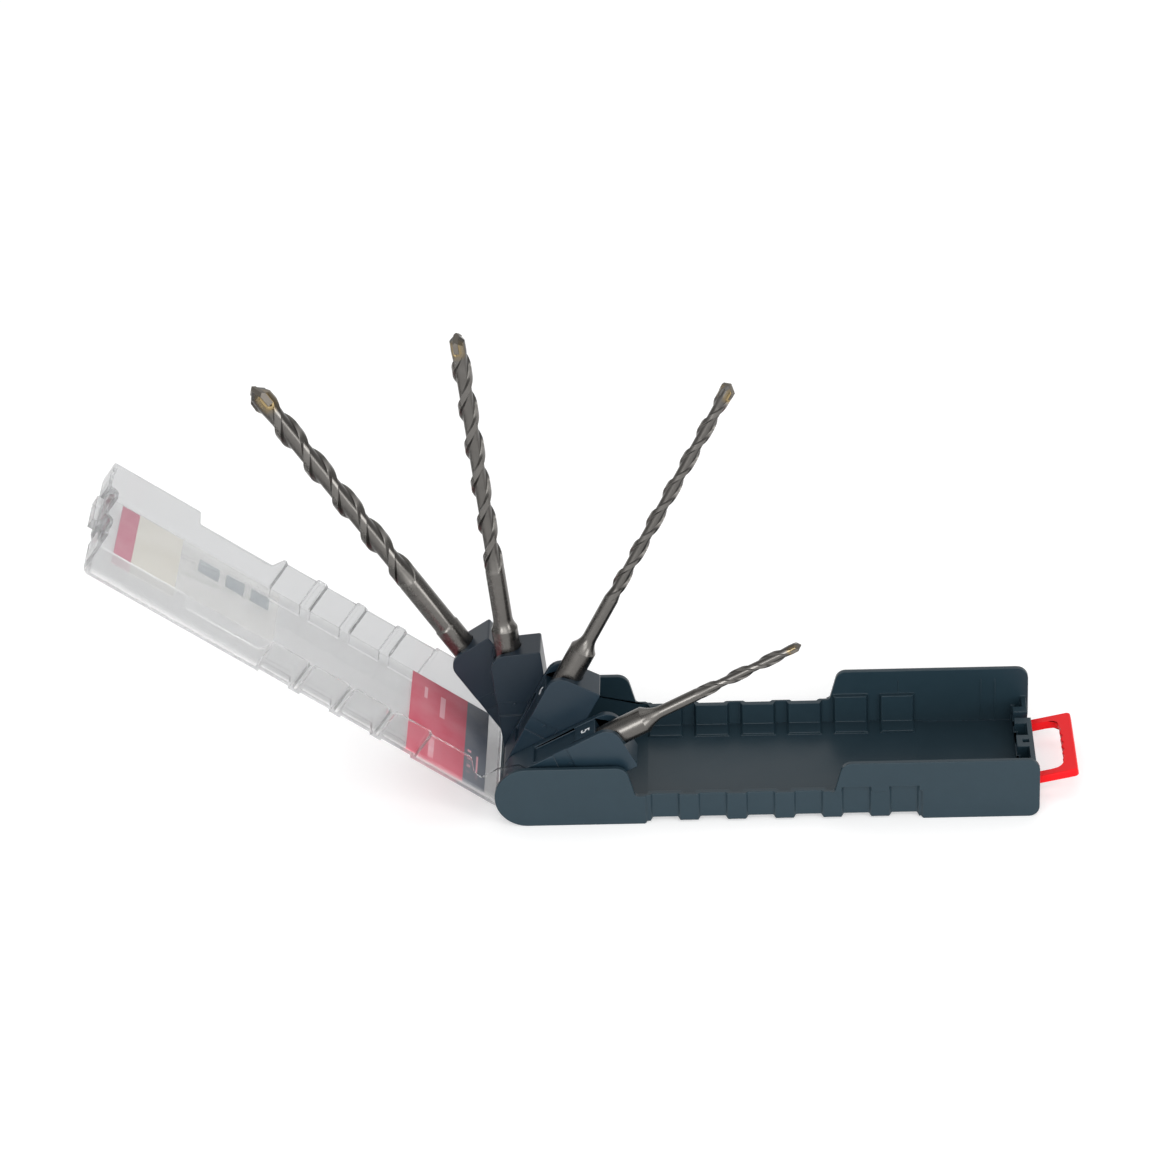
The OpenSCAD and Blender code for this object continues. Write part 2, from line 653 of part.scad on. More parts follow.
// Plan of the latch from its pivot outwards, with a waved inside of the bar
module latch_plan() {
    half = latch_w / 2;
    inside = latch_l - latch_bar;
    straight = post_h - latch_pivot_z + post_gap;    // arms run straight past the posts
    wave = [for (k = [-12 : 12]) let (y = k / 12 * (half - latch_arm - 5))
            [inside + latch_wave * cos(k * 75), y]];
    difference() {
        polygon(rounded([[0, -half, 0], [latch_l, -half, 1.6], [latch_l, half, 1.6], [0, half, 0]]));
        polygon(concat(
            [[-cut - latch_t, -(half - latch_arm)]],
            rounded([[-cut, -(half - latch_arm), 0], [straight, -(half - latch_arm), 0],
                     [inside - 0.6, -(half - latch_arm) + 0.6, 4],
                     [inside, -(half - latch_arm) + 6, 0]]),
            wave,
            rounded([[inside, half - latch_arm - 6, 0], [inside - 0.6, half - latch_arm - 0.6, 4],
                     [straight, half - latch_arm, 0], [-cut, half - latch_arm, 0]]),
            [[-cut - latch_t, half - latch_arm]]));
    }
}

module pull_latch() color(latch_red)
    translate([latch_pivot_x, 0, latch_pivot_z]) rotate([0, -latch_tilt, 0]) union() {
        translate([0, 0, -latch_t / 2]) linear_extrude(latch_t) latch_plan();
        for (s = [-1, 1]) {
            y = s * (latch_w - latch_arm) / 2;
            translate([0, y, 0]) rotate([90, 0, 0])
                cylinder(r = latch_t / 2, h = latch_arm, center = true, $fn = slice_fn);
            translate([0, s * (latch_w / 2 - latch_arm + eps), 0]) rotate([s * 90, 0, 0])
                cylinder(r = latch_pin_r, h = latch_pin_l, $fn = slice_fn);
        }
    }

base_tray();
hinge_axle();
lid_cover();
hinge_label();
front_label();
holder_10();
holder_8();
holder_6();
holder_5();
bit_10();
bit_8();
bit_6();
bit_5();
carbide_10();
carbide_8();
carbide_6();
carbide_5();
pull_latch();
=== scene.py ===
"""Looks of a hinged drill bit case: dark tray, clear lid, swinging holders, hammer drill bits and a red latch.

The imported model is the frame. Row frame: X from the hinge end to the latch end, Y to the back, Z up, in metres.
A swinging part has a frame of its own, in millimetres: u runs out from the axle, y across, w out through its top.
"""

from __future__ import annotations

import json
import logging
import math
from dataclasses import dataclass, field
from enum import Enum

import bmesh
import bpy
import numpy as np
from mathutils import Euler, Matrix, Vector
from mathutils.kdtree import KDTree

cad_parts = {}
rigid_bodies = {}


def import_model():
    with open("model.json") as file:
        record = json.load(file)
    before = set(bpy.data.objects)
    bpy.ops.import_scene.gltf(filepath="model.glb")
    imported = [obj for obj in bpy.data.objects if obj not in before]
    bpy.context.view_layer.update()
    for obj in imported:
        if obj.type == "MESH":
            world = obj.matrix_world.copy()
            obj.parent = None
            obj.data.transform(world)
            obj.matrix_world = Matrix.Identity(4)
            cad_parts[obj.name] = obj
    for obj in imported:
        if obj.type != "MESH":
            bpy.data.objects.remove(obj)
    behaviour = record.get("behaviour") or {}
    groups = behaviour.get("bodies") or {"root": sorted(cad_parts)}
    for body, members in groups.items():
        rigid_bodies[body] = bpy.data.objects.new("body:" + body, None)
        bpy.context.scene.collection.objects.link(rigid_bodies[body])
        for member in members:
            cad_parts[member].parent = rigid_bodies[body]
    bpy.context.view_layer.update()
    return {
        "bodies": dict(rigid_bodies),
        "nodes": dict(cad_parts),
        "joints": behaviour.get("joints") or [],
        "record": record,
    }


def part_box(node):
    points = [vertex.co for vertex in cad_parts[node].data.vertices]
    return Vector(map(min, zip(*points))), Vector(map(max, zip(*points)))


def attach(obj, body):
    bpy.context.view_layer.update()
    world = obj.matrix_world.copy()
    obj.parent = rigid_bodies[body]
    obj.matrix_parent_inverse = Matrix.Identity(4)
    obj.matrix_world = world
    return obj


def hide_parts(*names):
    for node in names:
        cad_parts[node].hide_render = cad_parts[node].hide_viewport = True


LOG = logging.getLogger("drill_bit_case")
MM = 0.001


class Slot(Enum):
    """Material slots of the record; a holder's finish is named after its slot."""

    TRAY = "tray"
    CLEAR = "clear_plastic"
    LABEL_WHITE = "label_white"
    NAVY = "holder_navy"
    BLUE = "holder_blue"
    SLATE = "holder_slate"
    PETROL = "holder_petrol"
    STEEL = "bit_steel"
    CARBIDE = "carbide"
    LATCH = "latch_red"


# ---- Shader maths ----


class Wire:
    """An output socket of a material or world, with Python's arithmetic on values."""

    def __init__(self, graph: "Graph", socket: bpy.types.NodeSocket) -> None:
        """Keeps the socket and the graph that it belongs to."""
        self.graph = graph
        self.socket = socket

    def _math(self, operation: str, left: "Wire | float", right: "Wire | float") -> "Wire":
        """Adds a Math node for one operation on two values."""
        return self.graph.add("ShaderNodeMath", {"operation": operation}, {0: left, 1: right})

    def __add__(self, other: "Wire | float") -> "Wire":
        """Sum."""
        return self._math("ADD", self, other)

    __radd__ = __add__

    def __sub__(self, other: "Wire | float") -> "Wire":
        """Difference."""
        return self._math("SUBTRACT", self, other)

    def __rsub__(self, other: "Wire | float") -> "Wire":
        """Difference, with this value on the right."""
        return self._math("SUBTRACT", other, self)

    def __mul__(self, other: "Wire | float") -> "Wire":
        """Product."""
        return self._math("MULTIPLY", self, other)

    __rmul__ = __mul__

    def __gt__(self, other: "Wire | float") -> "Wire":
        """1 where this value is the larger one, else 0."""
        return self._math("GREATER_THAN", self, other)

    def __lt__(self, other: "Wire | float") -> "Wire":
        """1 where this value is the smaller one, else 0."""
        return self._math("LESS_THAN", self, other)


class Graph:
    """The node tree of one material or world."""

    def __init__(self, owner: bpy.types.Material | bpy.types.World) -> None:
        """Empties the owner's node tree and keeps it.

        Args:
            owner: The material or world whose nodes are made.
        """
        owner.use_nodes = True
        self.tree = owner.node_tree
        self.tree.nodes.clear()

    def add(self, kind: str, settings: dict | None = None, sockets: dict | None = None,
            output: int | str = 0) -> Wire:
        """Adds a node.

        Args:
            kind: The node's type name.
            settings: Its own settings, set first.
            sockets: Values or wires of its input sockets, by name or number.
            output: Name or number of the output that is wanted.

        Returns:
            The wire of that output.
        """
        node = self.tree.nodes.new(kind)
        for key, value in (settings or {}).items():
            setattr(node, key, value)
        for key, value in (sockets or {}).items():
            if isinstance(value, Wire):
                self.tree.links.new(value.socket, node.inputs[key])
            else:
                node.inputs[key].default_value = value
        return Wire(self, node.outputs[output])

    def noise(self, place: Wire, size: float, detail: float = 2.0, rough: float = 0.5) -> Wire:
        """Value of a noise texture from 0 to 1.

        Args:
            place: Coordinates in metres.
            size: Millimetres from one feature to the next.
            detail: Octaves.
            rough: Share of each finer octave.

        Returns:
            The wire of the value.
        """
        return self.add("ShaderNodeTexNoise", {"noise_dimensions": "3D"},
                        {"Vector": place, "Scale": 1 / (size * MM), "Detail": detail, "Roughness": rough}, "Fac")

    def object_place(self) -> Wire:
        """Object coordinates, which are the row frame's metres at rest."""
        return self.add("ShaderNodeTexCoord", output="Object")

    def turned_place(self, origin: Vector, turn: Euler, scale: tuple = (1.0, 1.0, 1.0)) -> Wire:
        """Object coordinates seen from a frame of the piece's own.

        Args:
            origin: That frame's origin, in metres.
            turn: That frame's rotation.
            scale: Size of its units along its axes.

        Returns:
            The wire of the coordinates.
        """
        return self.add("ShaderNodeMapping", {"vector_type": "TEXTURE"},
                        {"Vector": self.object_place(), "Location": origin, "Rotation": turn, "Scale": scale})

    def mix(self, share: Wire | float, low: Wire | tuple, high: Wire | tuple) -> Wire:
        """Colour that goes from low to high with share."""
        return self.add("ShaderNodeMix", {"data_type": "RGBA"}, {0: share, 6: low, 7: high}, 2)

    def split(self, place: Wire) -> tuple[Wire, Wire, Wire]:
        """The three numbers of a vector."""
        node = self.add("ShaderNodeSeparateXYZ", None, {0: place}).socket.node
        return tuple(Wire(self, socket) for socket in node.outputs)

    def bump(self, height: Wire, distance: float) -> Wire:
        """Normal of a surface raised by height times distance, in millimetres."""
        return self.add("ShaderNodeBump", None, {"Height": height, "Distance": distance * MM, "Strength": 1.0})

    def surface(self, shader: Wire) -> None:
        """Puts a shader on the owner's output."""
        self.add_output("ShaderNodeOutputMaterial", shader)

    def add_output(self, kind: str, shader: Wire) -> None:
        """Adds an output node of a kind and links the shader to it."""
        node = self.tree.nodes.new(kind)
        self.tree.links.new(shader.socket, node.inputs[0])


def rgb(red: float, green: float, blue: float) -> tuple[float, float, float, float]:
    """Linear colour from display values between 0 and 255."""
    def linear(value: float) -> float:
        """Undoes the standard display curve."""
        share = value / 255
        return share / 12.92 if share <= 0.04045 else ((share + 0.055) / 1.055) ** 2.4

    return linear(red), linear(green), linear(blue), 1.0


def shades(colour: tuple, stray: float) -> tuple[tuple, tuple]:
    """The darker and the lighter shade of a colour, a share of stray away from it, with 1 as the most."""
    return tuple(tuple(min(1.0, part * share) for part in colour[:3]) + (1.0,) for share in (1 - stray, 1 + stray))


# ---- Finishes ----


@dataclass(frozen=True)
class Moulding:
    """Moulded plastic with a fine eroded skin, faint cloudiness and settled gloss."""

    name: str
    colour: tuple
    roughness: float = 0.34
    gloss: float = 0.33
    grain: float = 0.22          # millimetres from one grain of the skin to the next
    grain_height: float = 0.004  # millimetres
    cloud: float = 0.10          # how far the tone strays
    cloud_size: float = 14.0     # millimetres
    flow_size: float = 3.5       # of the marks that the melt left, millimetres
    flow_tone: float = 0.3       # their share in the tone, beside the clouds
    cloud_rough: float = 0.16    # how far clouds and grain change the roughness
    grain_rough: float = 0.10
    grain_rise: float = 0.8      # heights of grain and marks, of the grain's height
    flow_rise: float = 1.6

    def build(self) -> bpy.types.Material:
        """Makes the material."""
        material = bpy.data.materials.new(self.name)
        g = Graph(material)
        place = g.object_place()
        clouds = g.noise(place, self.cloud_size, 3, 0.6)
        grain = g.noise(place, self.grain, 1, 0.4)
        flow = g.noise(place, self.flow_size)
        g.surface(g.add("ShaderNodeBsdfPrincipled", None, {
            "Base Color": g.mix(clouds * (1 - self.flow_tone) + flow * self.flow_tone,
                                *shades(self.colour, self.cloud)),
            "Roughness": self.roughness + (clouds - 0.5) * self.cloud_rough + (grain - 0.5) * self.grain_rough,
            "Specular IOR Level": self.gloss,
            "Normal": g.bump(grain * self.grain_rise + flow * self.flow_rise, self.grain_height),
        }))
        return material


@dataclass(frozen=True)
class ClearPlastic:
    """Clear polished plastic that lets the lamps' light through to what lies behind it. Its grey tints are partly the
    plastic's own and partly painted shade, as of a dimmer ground under the lid, and the front wall is left without
    that painted shade.
    """

    name: str = "clear_plastic"
    # The tints are partly the plastic's own grey and partly painted shade, as of a dimmer ground under the lid
    tint: tuple = (0.635, 0.64, 0.645, 1.0)
    thin_tint: tuple = (0.785, 0.788, 0.792, 1.0)
    thin_share: float = 0.32     # how much of the light passes straight, as through a thin even wall
    pale: tuple = (0.965, 0.965, 0.965, 1.0)   # tint of the front wall, left without the painted shade
    front_wall: float = -27.5    # y beyond its pockets, millimetres
    shadow_tint: tuple = (0.92, 0.92, 0.92, 1.0)
    roughness: float = 0.04
    ior: float = 1.32
    ripple: float = 9.0          # millimetres from one wave of the surface to the next
    ripple_height: float = 0.02  # millimetres

    def build(self) -> bpy.types.Material:
        """Makes the material."""
        material = bpy.data.materials.new(self.name)
        g = Graph(material)
        place = g.object_place()
        normal = g.bump(g.noise(place, self.ripple), self.ripple_height)

        def wall(tint: tuple, thin_tint: tuple) -> Wire:
            """Refracting plastic of a tint, partly let through straight."""
            glass = g.add("ShaderNodeBsdfPrincipled", None, {
                "Base Color": tint, "Transmission Weight": 1.0, "Roughness": self.roughness,
                "IOR": self.ior, "Normal": normal})
            thin = g.add("ShaderNodeBsdfTransparent", None, {"Color": thin_tint})
            return g.add("ShaderNodeMixShader", None, {0: self.thin_share, 1: glass, 2: thin})

        _, y, _ = g.split(place)
        # Painted shade in the tint of every wall but the front one, which takes the pale tint
        both = g.add("ShaderNodeMixShader", None, {
            0: y < self.front_wall * MM, 1: wall(self.tint, self.thin_tint), 2: wall(self.pale, self.pale)})
        clear = g.add("ShaderNodeBsdfTransparent", None, {"Color": self.shadow_tint})
        shadow = g.add("ShaderNodeLightPath", output="Is Shadow Ray")
        g.surface(g.add("ShaderNodeMixShader", None, {0: shadow, 1: both, 2: clear}))
        return material


@dataclass(frozen=True)
class BitSteel:
    """Blasted and rolled steel: dull flute floors, lands painted lighter, partly for their own polish and partly as
    painted highlight, and fine turning lines along one bit.
    """

    name: str
    origin: Vector
    turn: Euler
    base: tuple = (0.084, 0.080, 0.075, 1.0)
    bright: tuple = (0.215, 0.205, 0.193, 1.0)
    gold: tuple = (0.25, 0.19, 0.10, 1.0)
    roughness: float = 0.31
    grain: float = 0.18          # millimetres, as all the sizes here
    stain_size: float = 5.0
    gold_size: float = 1.1
    line_size: float = 18.0
    line_stretch: tuple = (1.0, 1.0, 0.02)   # makes the turning lines fine along the bit and long round it
    relief: float = 0.004
    grain_rise: float = 0.6      # heights of grain and turning lines, of the relief
    line_rise: float = 0.5
    stain_tone: float = 0.35     # how much of the tone is stain, grain and land, the land's share partly polish and partly painted highlight
    grain_tone: float = 0.25
    land_tone: float = 0.22
    stain_rough: float = 0.16    # how far stain and grain change the roughness
    grain_rough: float = 0.12
    land_polish: float = 0.08    # by how much a land is smoother
    gold_least: float = 0.1      # gold of the braze where its patches are thinnest and by how much they add
    gold_patch: float = 1.2

    def build(self) -> bpy.types.Material:
        """Makes the material."""
        material = bpy.data.materials.new(self.name)
        g = Graph(material)
        place = g.turned_place(self.origin, self.turn)
        lines = g.noise(g.turned_place(self.origin, self.turn, self.line_stretch), self.line_size)
        grain = g.noise(place, self.grain, 1)
        stain = g.noise(place, self.stain_size, 3, 0.6)
        patch = g.noise(place, self.gold_size)
        # Land share: lands, shank, neck and roof painted lighter, partly the steel's own polish and partly painted
        # highlight
        land = g.add("ShaderNodeAttribute", {"attribute_name": "land"}, output="Fac")
        braze = g.add("ShaderNodeAttribute", {"attribute_name": "braze"}, output="Fac")
        tone = stain * self.stain_tone + grain * self.grain_tone + land * self.land_tone
        gilt = braze * (patch * self.gold_patch + self.gold_least)
        rough = (stain - 0.5) * self.stain_rough + (grain - 0.5) * self.grain_rough - land * self.land_polish
        g.surface(g.add("ShaderNodeBsdfPrincipled", None, {
            "Base Color": g.mix(gilt, g.mix(tone, self.base, self.bright), self.gold),
            "Metallic": 1.0,
            "Roughness": rough + self.roughness,
            "Normal": g.bump(grain * self.grain_rise + lines * self.line_rise, self.relief),
        }))
        return material


@dataclass(frozen=True)
class PlainMetal:
    """Ground carbide, braze or drawn rod: one tone with a fine grain."""

    name: str
    colour: tuple
    roughness: float
    grain: float = 0.15          # millimetres, as the two sizes below
    stain_size: float = 1.2
    relief: float = 0.004
    stray: float = 0.2           # how far the tone strays
    grain_tone: float = 0.4      # the grain's share in the tone, beside the stain
    grain_rough: float = 0.15

    def build(self) -> bpy.types.Material:
        """Makes the material."""
        material = bpy.data.materials.new(self.name)
        g = Graph(material)
        place = g.object_place()
        grain = g.noise(place, self.grain, 2, 0.6)
        stain = g.noise(place, self.stain_size)
        g.surface(g.add("ShaderNodeBsdfPrincipled", None, {
            "Base Color": g.mix(stain * (1 - self.grain_tone) + grain * self.grain_tone,
                                *shades(self.colour, self.stray)),
            "Metallic": 1.0,
            "Roughness": self.roughness + (grain - 0.5) * self.grain_rough,
            "Normal": g.bump(grain, self.relief),
        }))
        return material


@dataclass(frozen=True)
class Block:
    """A printed rectangle on a label, in millimetres."""

    u0: float                    # its ends along the lid
    u1: float
    y0: float                    # its edges across the lid
    y1: float
    colour: tuple
    cover: float = 1.0           # how much it hides


@dataclass(frozen=True)
class Print:
    """A printed sheet: plain blocks of ink on a ground, in the lid's own frame."""

    name: str
    origin: Vector
    turn: Euler
    ground: tuple
    blocks: tuple[Block, ...]
    cover: float = 1.0           # how much the ground hides
    roughness: float = 0.45
    screen_size: float = 0.35    # millimetres, as the two sizes below
    cloud_size: float = 12.0
    relief: float = 0.003
    worn: float = 0.06           # how pale the ink is on the whole, and how far screen and clouds change it
    screen_worn: float = 0.10
    cloud_worn: float = 0.25
    cloud_rough: float = 0.15

    def build(self) -> bpy.types.Material:
        """Makes the material. A block's colour, and its cover where it differs, take the ground's place inside it."""
        material = bpy.data.materials.new(self.name)
        g = Graph(material)
        place = g.turned_place(self.origin, self.turn)
        u, y, _ = g.split(place)
        screen = g.noise(place, self.screen_size, 1)
        cloud = g.noise(place, self.cloud_size)
        colour, cover = self.ground, self.cover
        for block in self.blocks:
            inside = (u > block.u0 * MM) * (u < block.u1 * MM) * (y > block.y0 * MM) * (y < block.y1 * MM)
            colour = g.mix(inside, colour, block.colour)
            if block.cover != self.cover:
                cover = cover + inside * (block.cover - cover)
        worn = (screen - 0.5) * self.screen_worn + (cloud - 0.5) * self.cloud_worn + self.worn
        g.surface(g.add("ShaderNodeBsdfPrincipled", None, {
            "Base Color": g.mix(worn, colour, (1.0, 1.0, 1.0, 1.0)),
            "Roughness": self.roughness + (cloud - 0.5) * self.cloud_rough,
            "Alpha": cover,
            "Normal": g.bump(screen, self.relief),
        }))
        return material


# ---- Frames and meshes ----


@dataclass(frozen=True)
class SwingFrame:
    """Frame of a part that swings on the axle: u out from it, y across, w out through its top."""

    hinge: Vector
    angle: float

    @property
    def turn(self) -> Euler:
        """Rotation of this frame in the row frame."""
        return Euler((0.0, -math.radians(self.angle), 0.0))

    def place(self, local: np.ndarray) -> np.ndarray:
        """Row frame places, in metres, of local ones in millimetres.

        Args:
            local: Points (..., 3) as u, y, w.

        Returns:
            Points of the same shape: the hinge plus u and w turned by the part's angle.
        """
        u, y, w = np.moveaxis(np.asarray(local, float) * MM, -1, 0)
        cos, sin = math.cos(math.radians(self.angle)), math.sin(math.radians(self.angle))
        return np.stack((self.hinge.x + u * cos - w * sin, self.hinge.y + y,
                         self.hinge.z + u * sin + w * cos), axis=-1)


def grid_faces(rows: int, columns: int, wrap: bool) -> np.ndarray:
    """Quads over a grid of points: each joins a point to the next row and the next column.

    Args:
        rows: Number of rows.
        columns: Number of points in a row.
        wrap: Whether the last column joins the first.

    Returns:
        Faces as an (n, 4) array of point numbers.
    """
    row = np.arange(rows - 1)[:, None] * columns
    column = np.arange(columns if wrap else columns - 1)[None, :]
    after = (column + 1) % columns
    return np.stack((row + column, row + after, row + columns + after, row + columns + column), -1).reshape(-1, 4)


def closed_surface(points: np.ndarray) -> tuple[np.ndarray, list]:
    """Points and faces of a grid that wraps round and is closed by a pole at each end.

    Args:
        points: Grid (rows, columns, 3).

    Returns:
        The points (n, 3), with the two poles last, each at the middle of an end row, and the faces.
    """
    rows, columns, _ = points.shape
    flat = np.concatenate((points.reshape(-1, 3), points[0].mean(0)[None], points[-1].mean(0)[None]))
    column = np.arange(columns)
    after = (column + 1) % columns
    first = np.full(columns, rows * columns)
    last = (rows - 1) * columns
    low = np.stack((first, after, column), -1)
    high = np.stack((first + 1, last + column, last + after), -1)
    return flat, grid_faces(rows, columns, True).tolist() + low.tolist() + high.tolist()


def new_object(name: str, points: np.ndarray, faces: list, material: bpy.types.Material,
               crease: float = 32.0) -> bpy.types.Object:
    """Makes a mesh object at the origin, smooth up to a crease angle.

    Args:
        name: The piece's name.
        points: Places (n, 3) in the row frame, in metres.
        faces: Lists of point numbers.
        material: Its finish.
        crease: Edges sharper than this many degrees stay sharp.

    Returns:
        The object, linked to the scene.
    """
    mesh = bpy.data.meshes.new(name)
    mesh.from_pydata(points.tolist(), [], faces)
    mesh.shade_smooth()
    mesh.set_sharp_from_angle(angle=math.radians(crease))
    mesh.materials.append(material)
    obj = bpy.data.objects.new(name, mesh)
    bpy.context.scene.collection.objects.link(obj)
    return obj


@dataclass(frozen=True)
class Rounding:
    """Rounds the sharp edges of a copy of a CAD node, and narrows the rounding where faces would fold."""

    width: float                 # millimetres
    segments: int = 2
    sharp: float = 32.0          # degrees between faces from which an edge is rounded
    tries: int = 7
    narrowing: float = 0.55      # what a try leaves of the width beside a folded face
    reach: float = 1.2           # how near that is, of the width
    blend_passes: int = 8
    merge: float = 0.004         # millimetres up to which two points are one
    level: float = 0.6           # degrees up to which two faces are one flat
    old_fold: float = 0.5        # cosine of the turn from which an old face is folded
    new_fold: float = -0.1       # and a face of the rounding

    def merged(self, node: bpy.types.Object, name: str) -> bpy.types.Mesh:
        """The node's mesh with merged points, one face for each flat, and the weights of its sharp edges."""
        shape = bmesh.new()
        shape.from_mesh(node.data)
        bmesh.ops.remove_doubles(shape, verts=shape.verts, dist=self.merge * MM)
        bmesh.ops.dissolve_limit(shape, angle_limit=math.radians(self.level), verts=shape.verts, edges=shape.edges)
        shape.normal_update()
        weight = shape.edges.layers.float.new("bevel_weight_edge")
        flat = shape.faces.layers.float_vector.new("flat")
        for face in shape.faces:
            face[flat], face.material_index = face.normal, 0
        for edge in shape.edges:
            edge[weight] = float(edge.is_manifold and edge.calc_face_angle() > math.radians(self.sharp))
        mesh = bpy.data.meshes.new(name)
        shape.to_mesh(mesh)
        shape.free()
        return mesh

    @staticmethod
    def evaluated(obj: bpy.types.Object) -> bpy.types.Mesh:
        """A mesh of the object with its modifier."""
        bpy.context.view_layer.update()
        return bpy.data.meshes.new_from_object(obj.evaluated_get(bpy.context.evaluated_depsgraph_get()))

    def folded_places(self, mesh: bpy.types.Mesh) -> list[Vector]:
        """Corners of the faces that the rounding turned over."""
        flat = mesh.attributes["flat"].data
        places = []
        for face in mesh.polygons:
            limit = self.old_fold if face.material_index == 0 else self.new_fold
            if face.normal.dot(flat[face.index].vector) < limit and face.area > 1e-12:
                places += [mesh.vertices[number].co for number in face.vertices]
        return places

    def narrow(self, mesh: bpy.types.Mesh, places: list[Vector]) -> None:
        """Narrows the rounding of the edges that end near given places."""
        tree = KDTree(len(places))
        for number, place in enumerate(places):
            tree.insert(place, number)
        tree.balance()
        near = [tree.find(vertex.co)[2] < self.reach * self.width * MM for vertex in mesh.vertices]
        weights = mesh.attributes["bevel_weight_edge"].data
        for edge in mesh.edges:
            if near[edge.vertices[0]] or near[edge.vertices[1]]:
                weights[edge.index].value *= self.narrowing

    def shade(self, mesh: bpy.types.Mesh) -> None:
        """Sets the normals: flats stay flat, curved walls are smooth, and the rounding blends between its sides."""
        faces = mesh.polygons
        flat = [Vector(item.vector) for item in mesh.attributes["flat"].data]
        limit = math.cos(math.radians(self.sharp))
        fans: dict[int, list[int]] = {}
        for face in faces:
            if face.material_index == 0:
                for vertex in face.vertices:
                    fans.setdefault(vertex, []).append(face.index)
        sides: dict[int, list[Vector]] = {}
        normals = [Vector()] * len(mesh.loops)
        for face in faces:
            if face.material_index == 0:
                for loop, vertex in zip(face.loop_indices, face.vertices):
                    own = flat[face.index]
                    near = [flat[other] for other in fans[vertex] if flat[other].dot(own) > limit]
                    normals[loop] = sum(near, Vector()).normalized()
                    sides.setdefault(vertex, []).append(normals[loop])
        blend = {v: sum(known, Vector()).normalized() for v, known in sides.items()}
        links: dict[int, list[int]] = {}
        for edge in mesh.edges:
            first, last = edge.vertices
            links.setdefault(first, []).append(last)
            links.setdefault(last, []).append(first)
        between = [v for v in links if v not in sides]
        for _ in range(self.blend_passes):
            blend |= {v: sum((blend.get(w, Vector()) for w in links[v]), Vector()).normalized() for v in between}
        for face in faces:
            if face.material_index == 1:
                for loop, vertex in zip(face.loop_indices, face.vertices):
                    choice = sides.get(vertex, [blend[vertex]])
                    normals[loop] = max(choice, key=face.normal.dot)
        mesh.shade_smooth()
        mesh.normals_split_custom_set(normals)

    def copy(self, node: bpy.types.Object, name: str, material: bpy.types.Material) -> bpy.types.Object:
        """Makes the rounded copy.

        Args:
            node: The CAD node.
            name: The copy's name.
            material: Its finish.

        Returns:
            The new object, linked to the scene.
        """
        mesh = self.merged(node, name)
        mesh.materials.clear()
        mesh.materials.append(material)
        mesh.materials.append(material)
        obj = bpy.data.objects.new(name, mesh)
        bpy.context.scene.collection.objects.link(obj)
        bevel = obj.modifiers.new("rounding", "BEVEL")
        bevel.width, bevel.segments, bevel.material = self.width * MM, self.segments, 1
        bevel.limit_method, bevel.use_clamp_overlap = "WEIGHT", False
        for _ in range(self.tries):
            result = self.evaluated(obj)
            places = self.folded_places(result)
            if not places:
                break
            self.narrow(mesh, places)
        self.shade(result)
        obj.modifiers.clear()
        obj.data = result
        result.materials.pop(index=1)
        result.attributes.remove(result.attributes["flat"])
        bpy.data.meshes.remove(mesh)
        result.name = name
        return obj


def hand_in(obj: bpy.types.Object, body: str, slot: Slot, *replaced: str) -> bpy.types.Object:
    """Puts a finished piece on its body and hides the CAD nodes that it replaces.

    Args:
        obj: The piece.
        body: The body that it rides on.
        slot: Not used.
        replaced: CAD nodes that it replaces.

    Returns:
        The piece.
    """
    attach(obj, body)
    if replaced:
        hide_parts(*replaced)
    LOG.info("%s rides on %s, %d faces", obj.name, body, len(obj.data.polygons))
    return obj


def dress(node: bpy.types.Object, material: bpy.types.Material) -> None:
    """Gives a CAD node another finish."""
    node.data.materials.clear()
    node.data.materials.append(material)


# ---- Sub-assemblies ----


@dataclass
class Tray:
    """The moulded tray with its rounded edges, and the steel axle in its ears."""

    rounding: Rounding = Rounding(0.3)
    finish: Moulding = field(default_factory=lambda: Moulding("tray_moulding", (0.0138, 0.0305, 0.0420, 1.0)))
    axle: PlainMetal = field(default_factory=lambda: PlainMetal("axle_rod", (0.6, 0.6, 0.62, 1.0), 0.35))

    def build(self, frame: dict) -> None:
        """Makes the tray's piece and dresses the axle.
        """
        node = frame["nodes"]["base_tray"]
        piece = self.rounding.copy(node, "tray_moulding", self.finish.build())
        hand_in(piece, "tray", Slot.TRAY, "base_tray")
        dress(frame["nodes"]["hinge_axle"], self.axle.build())


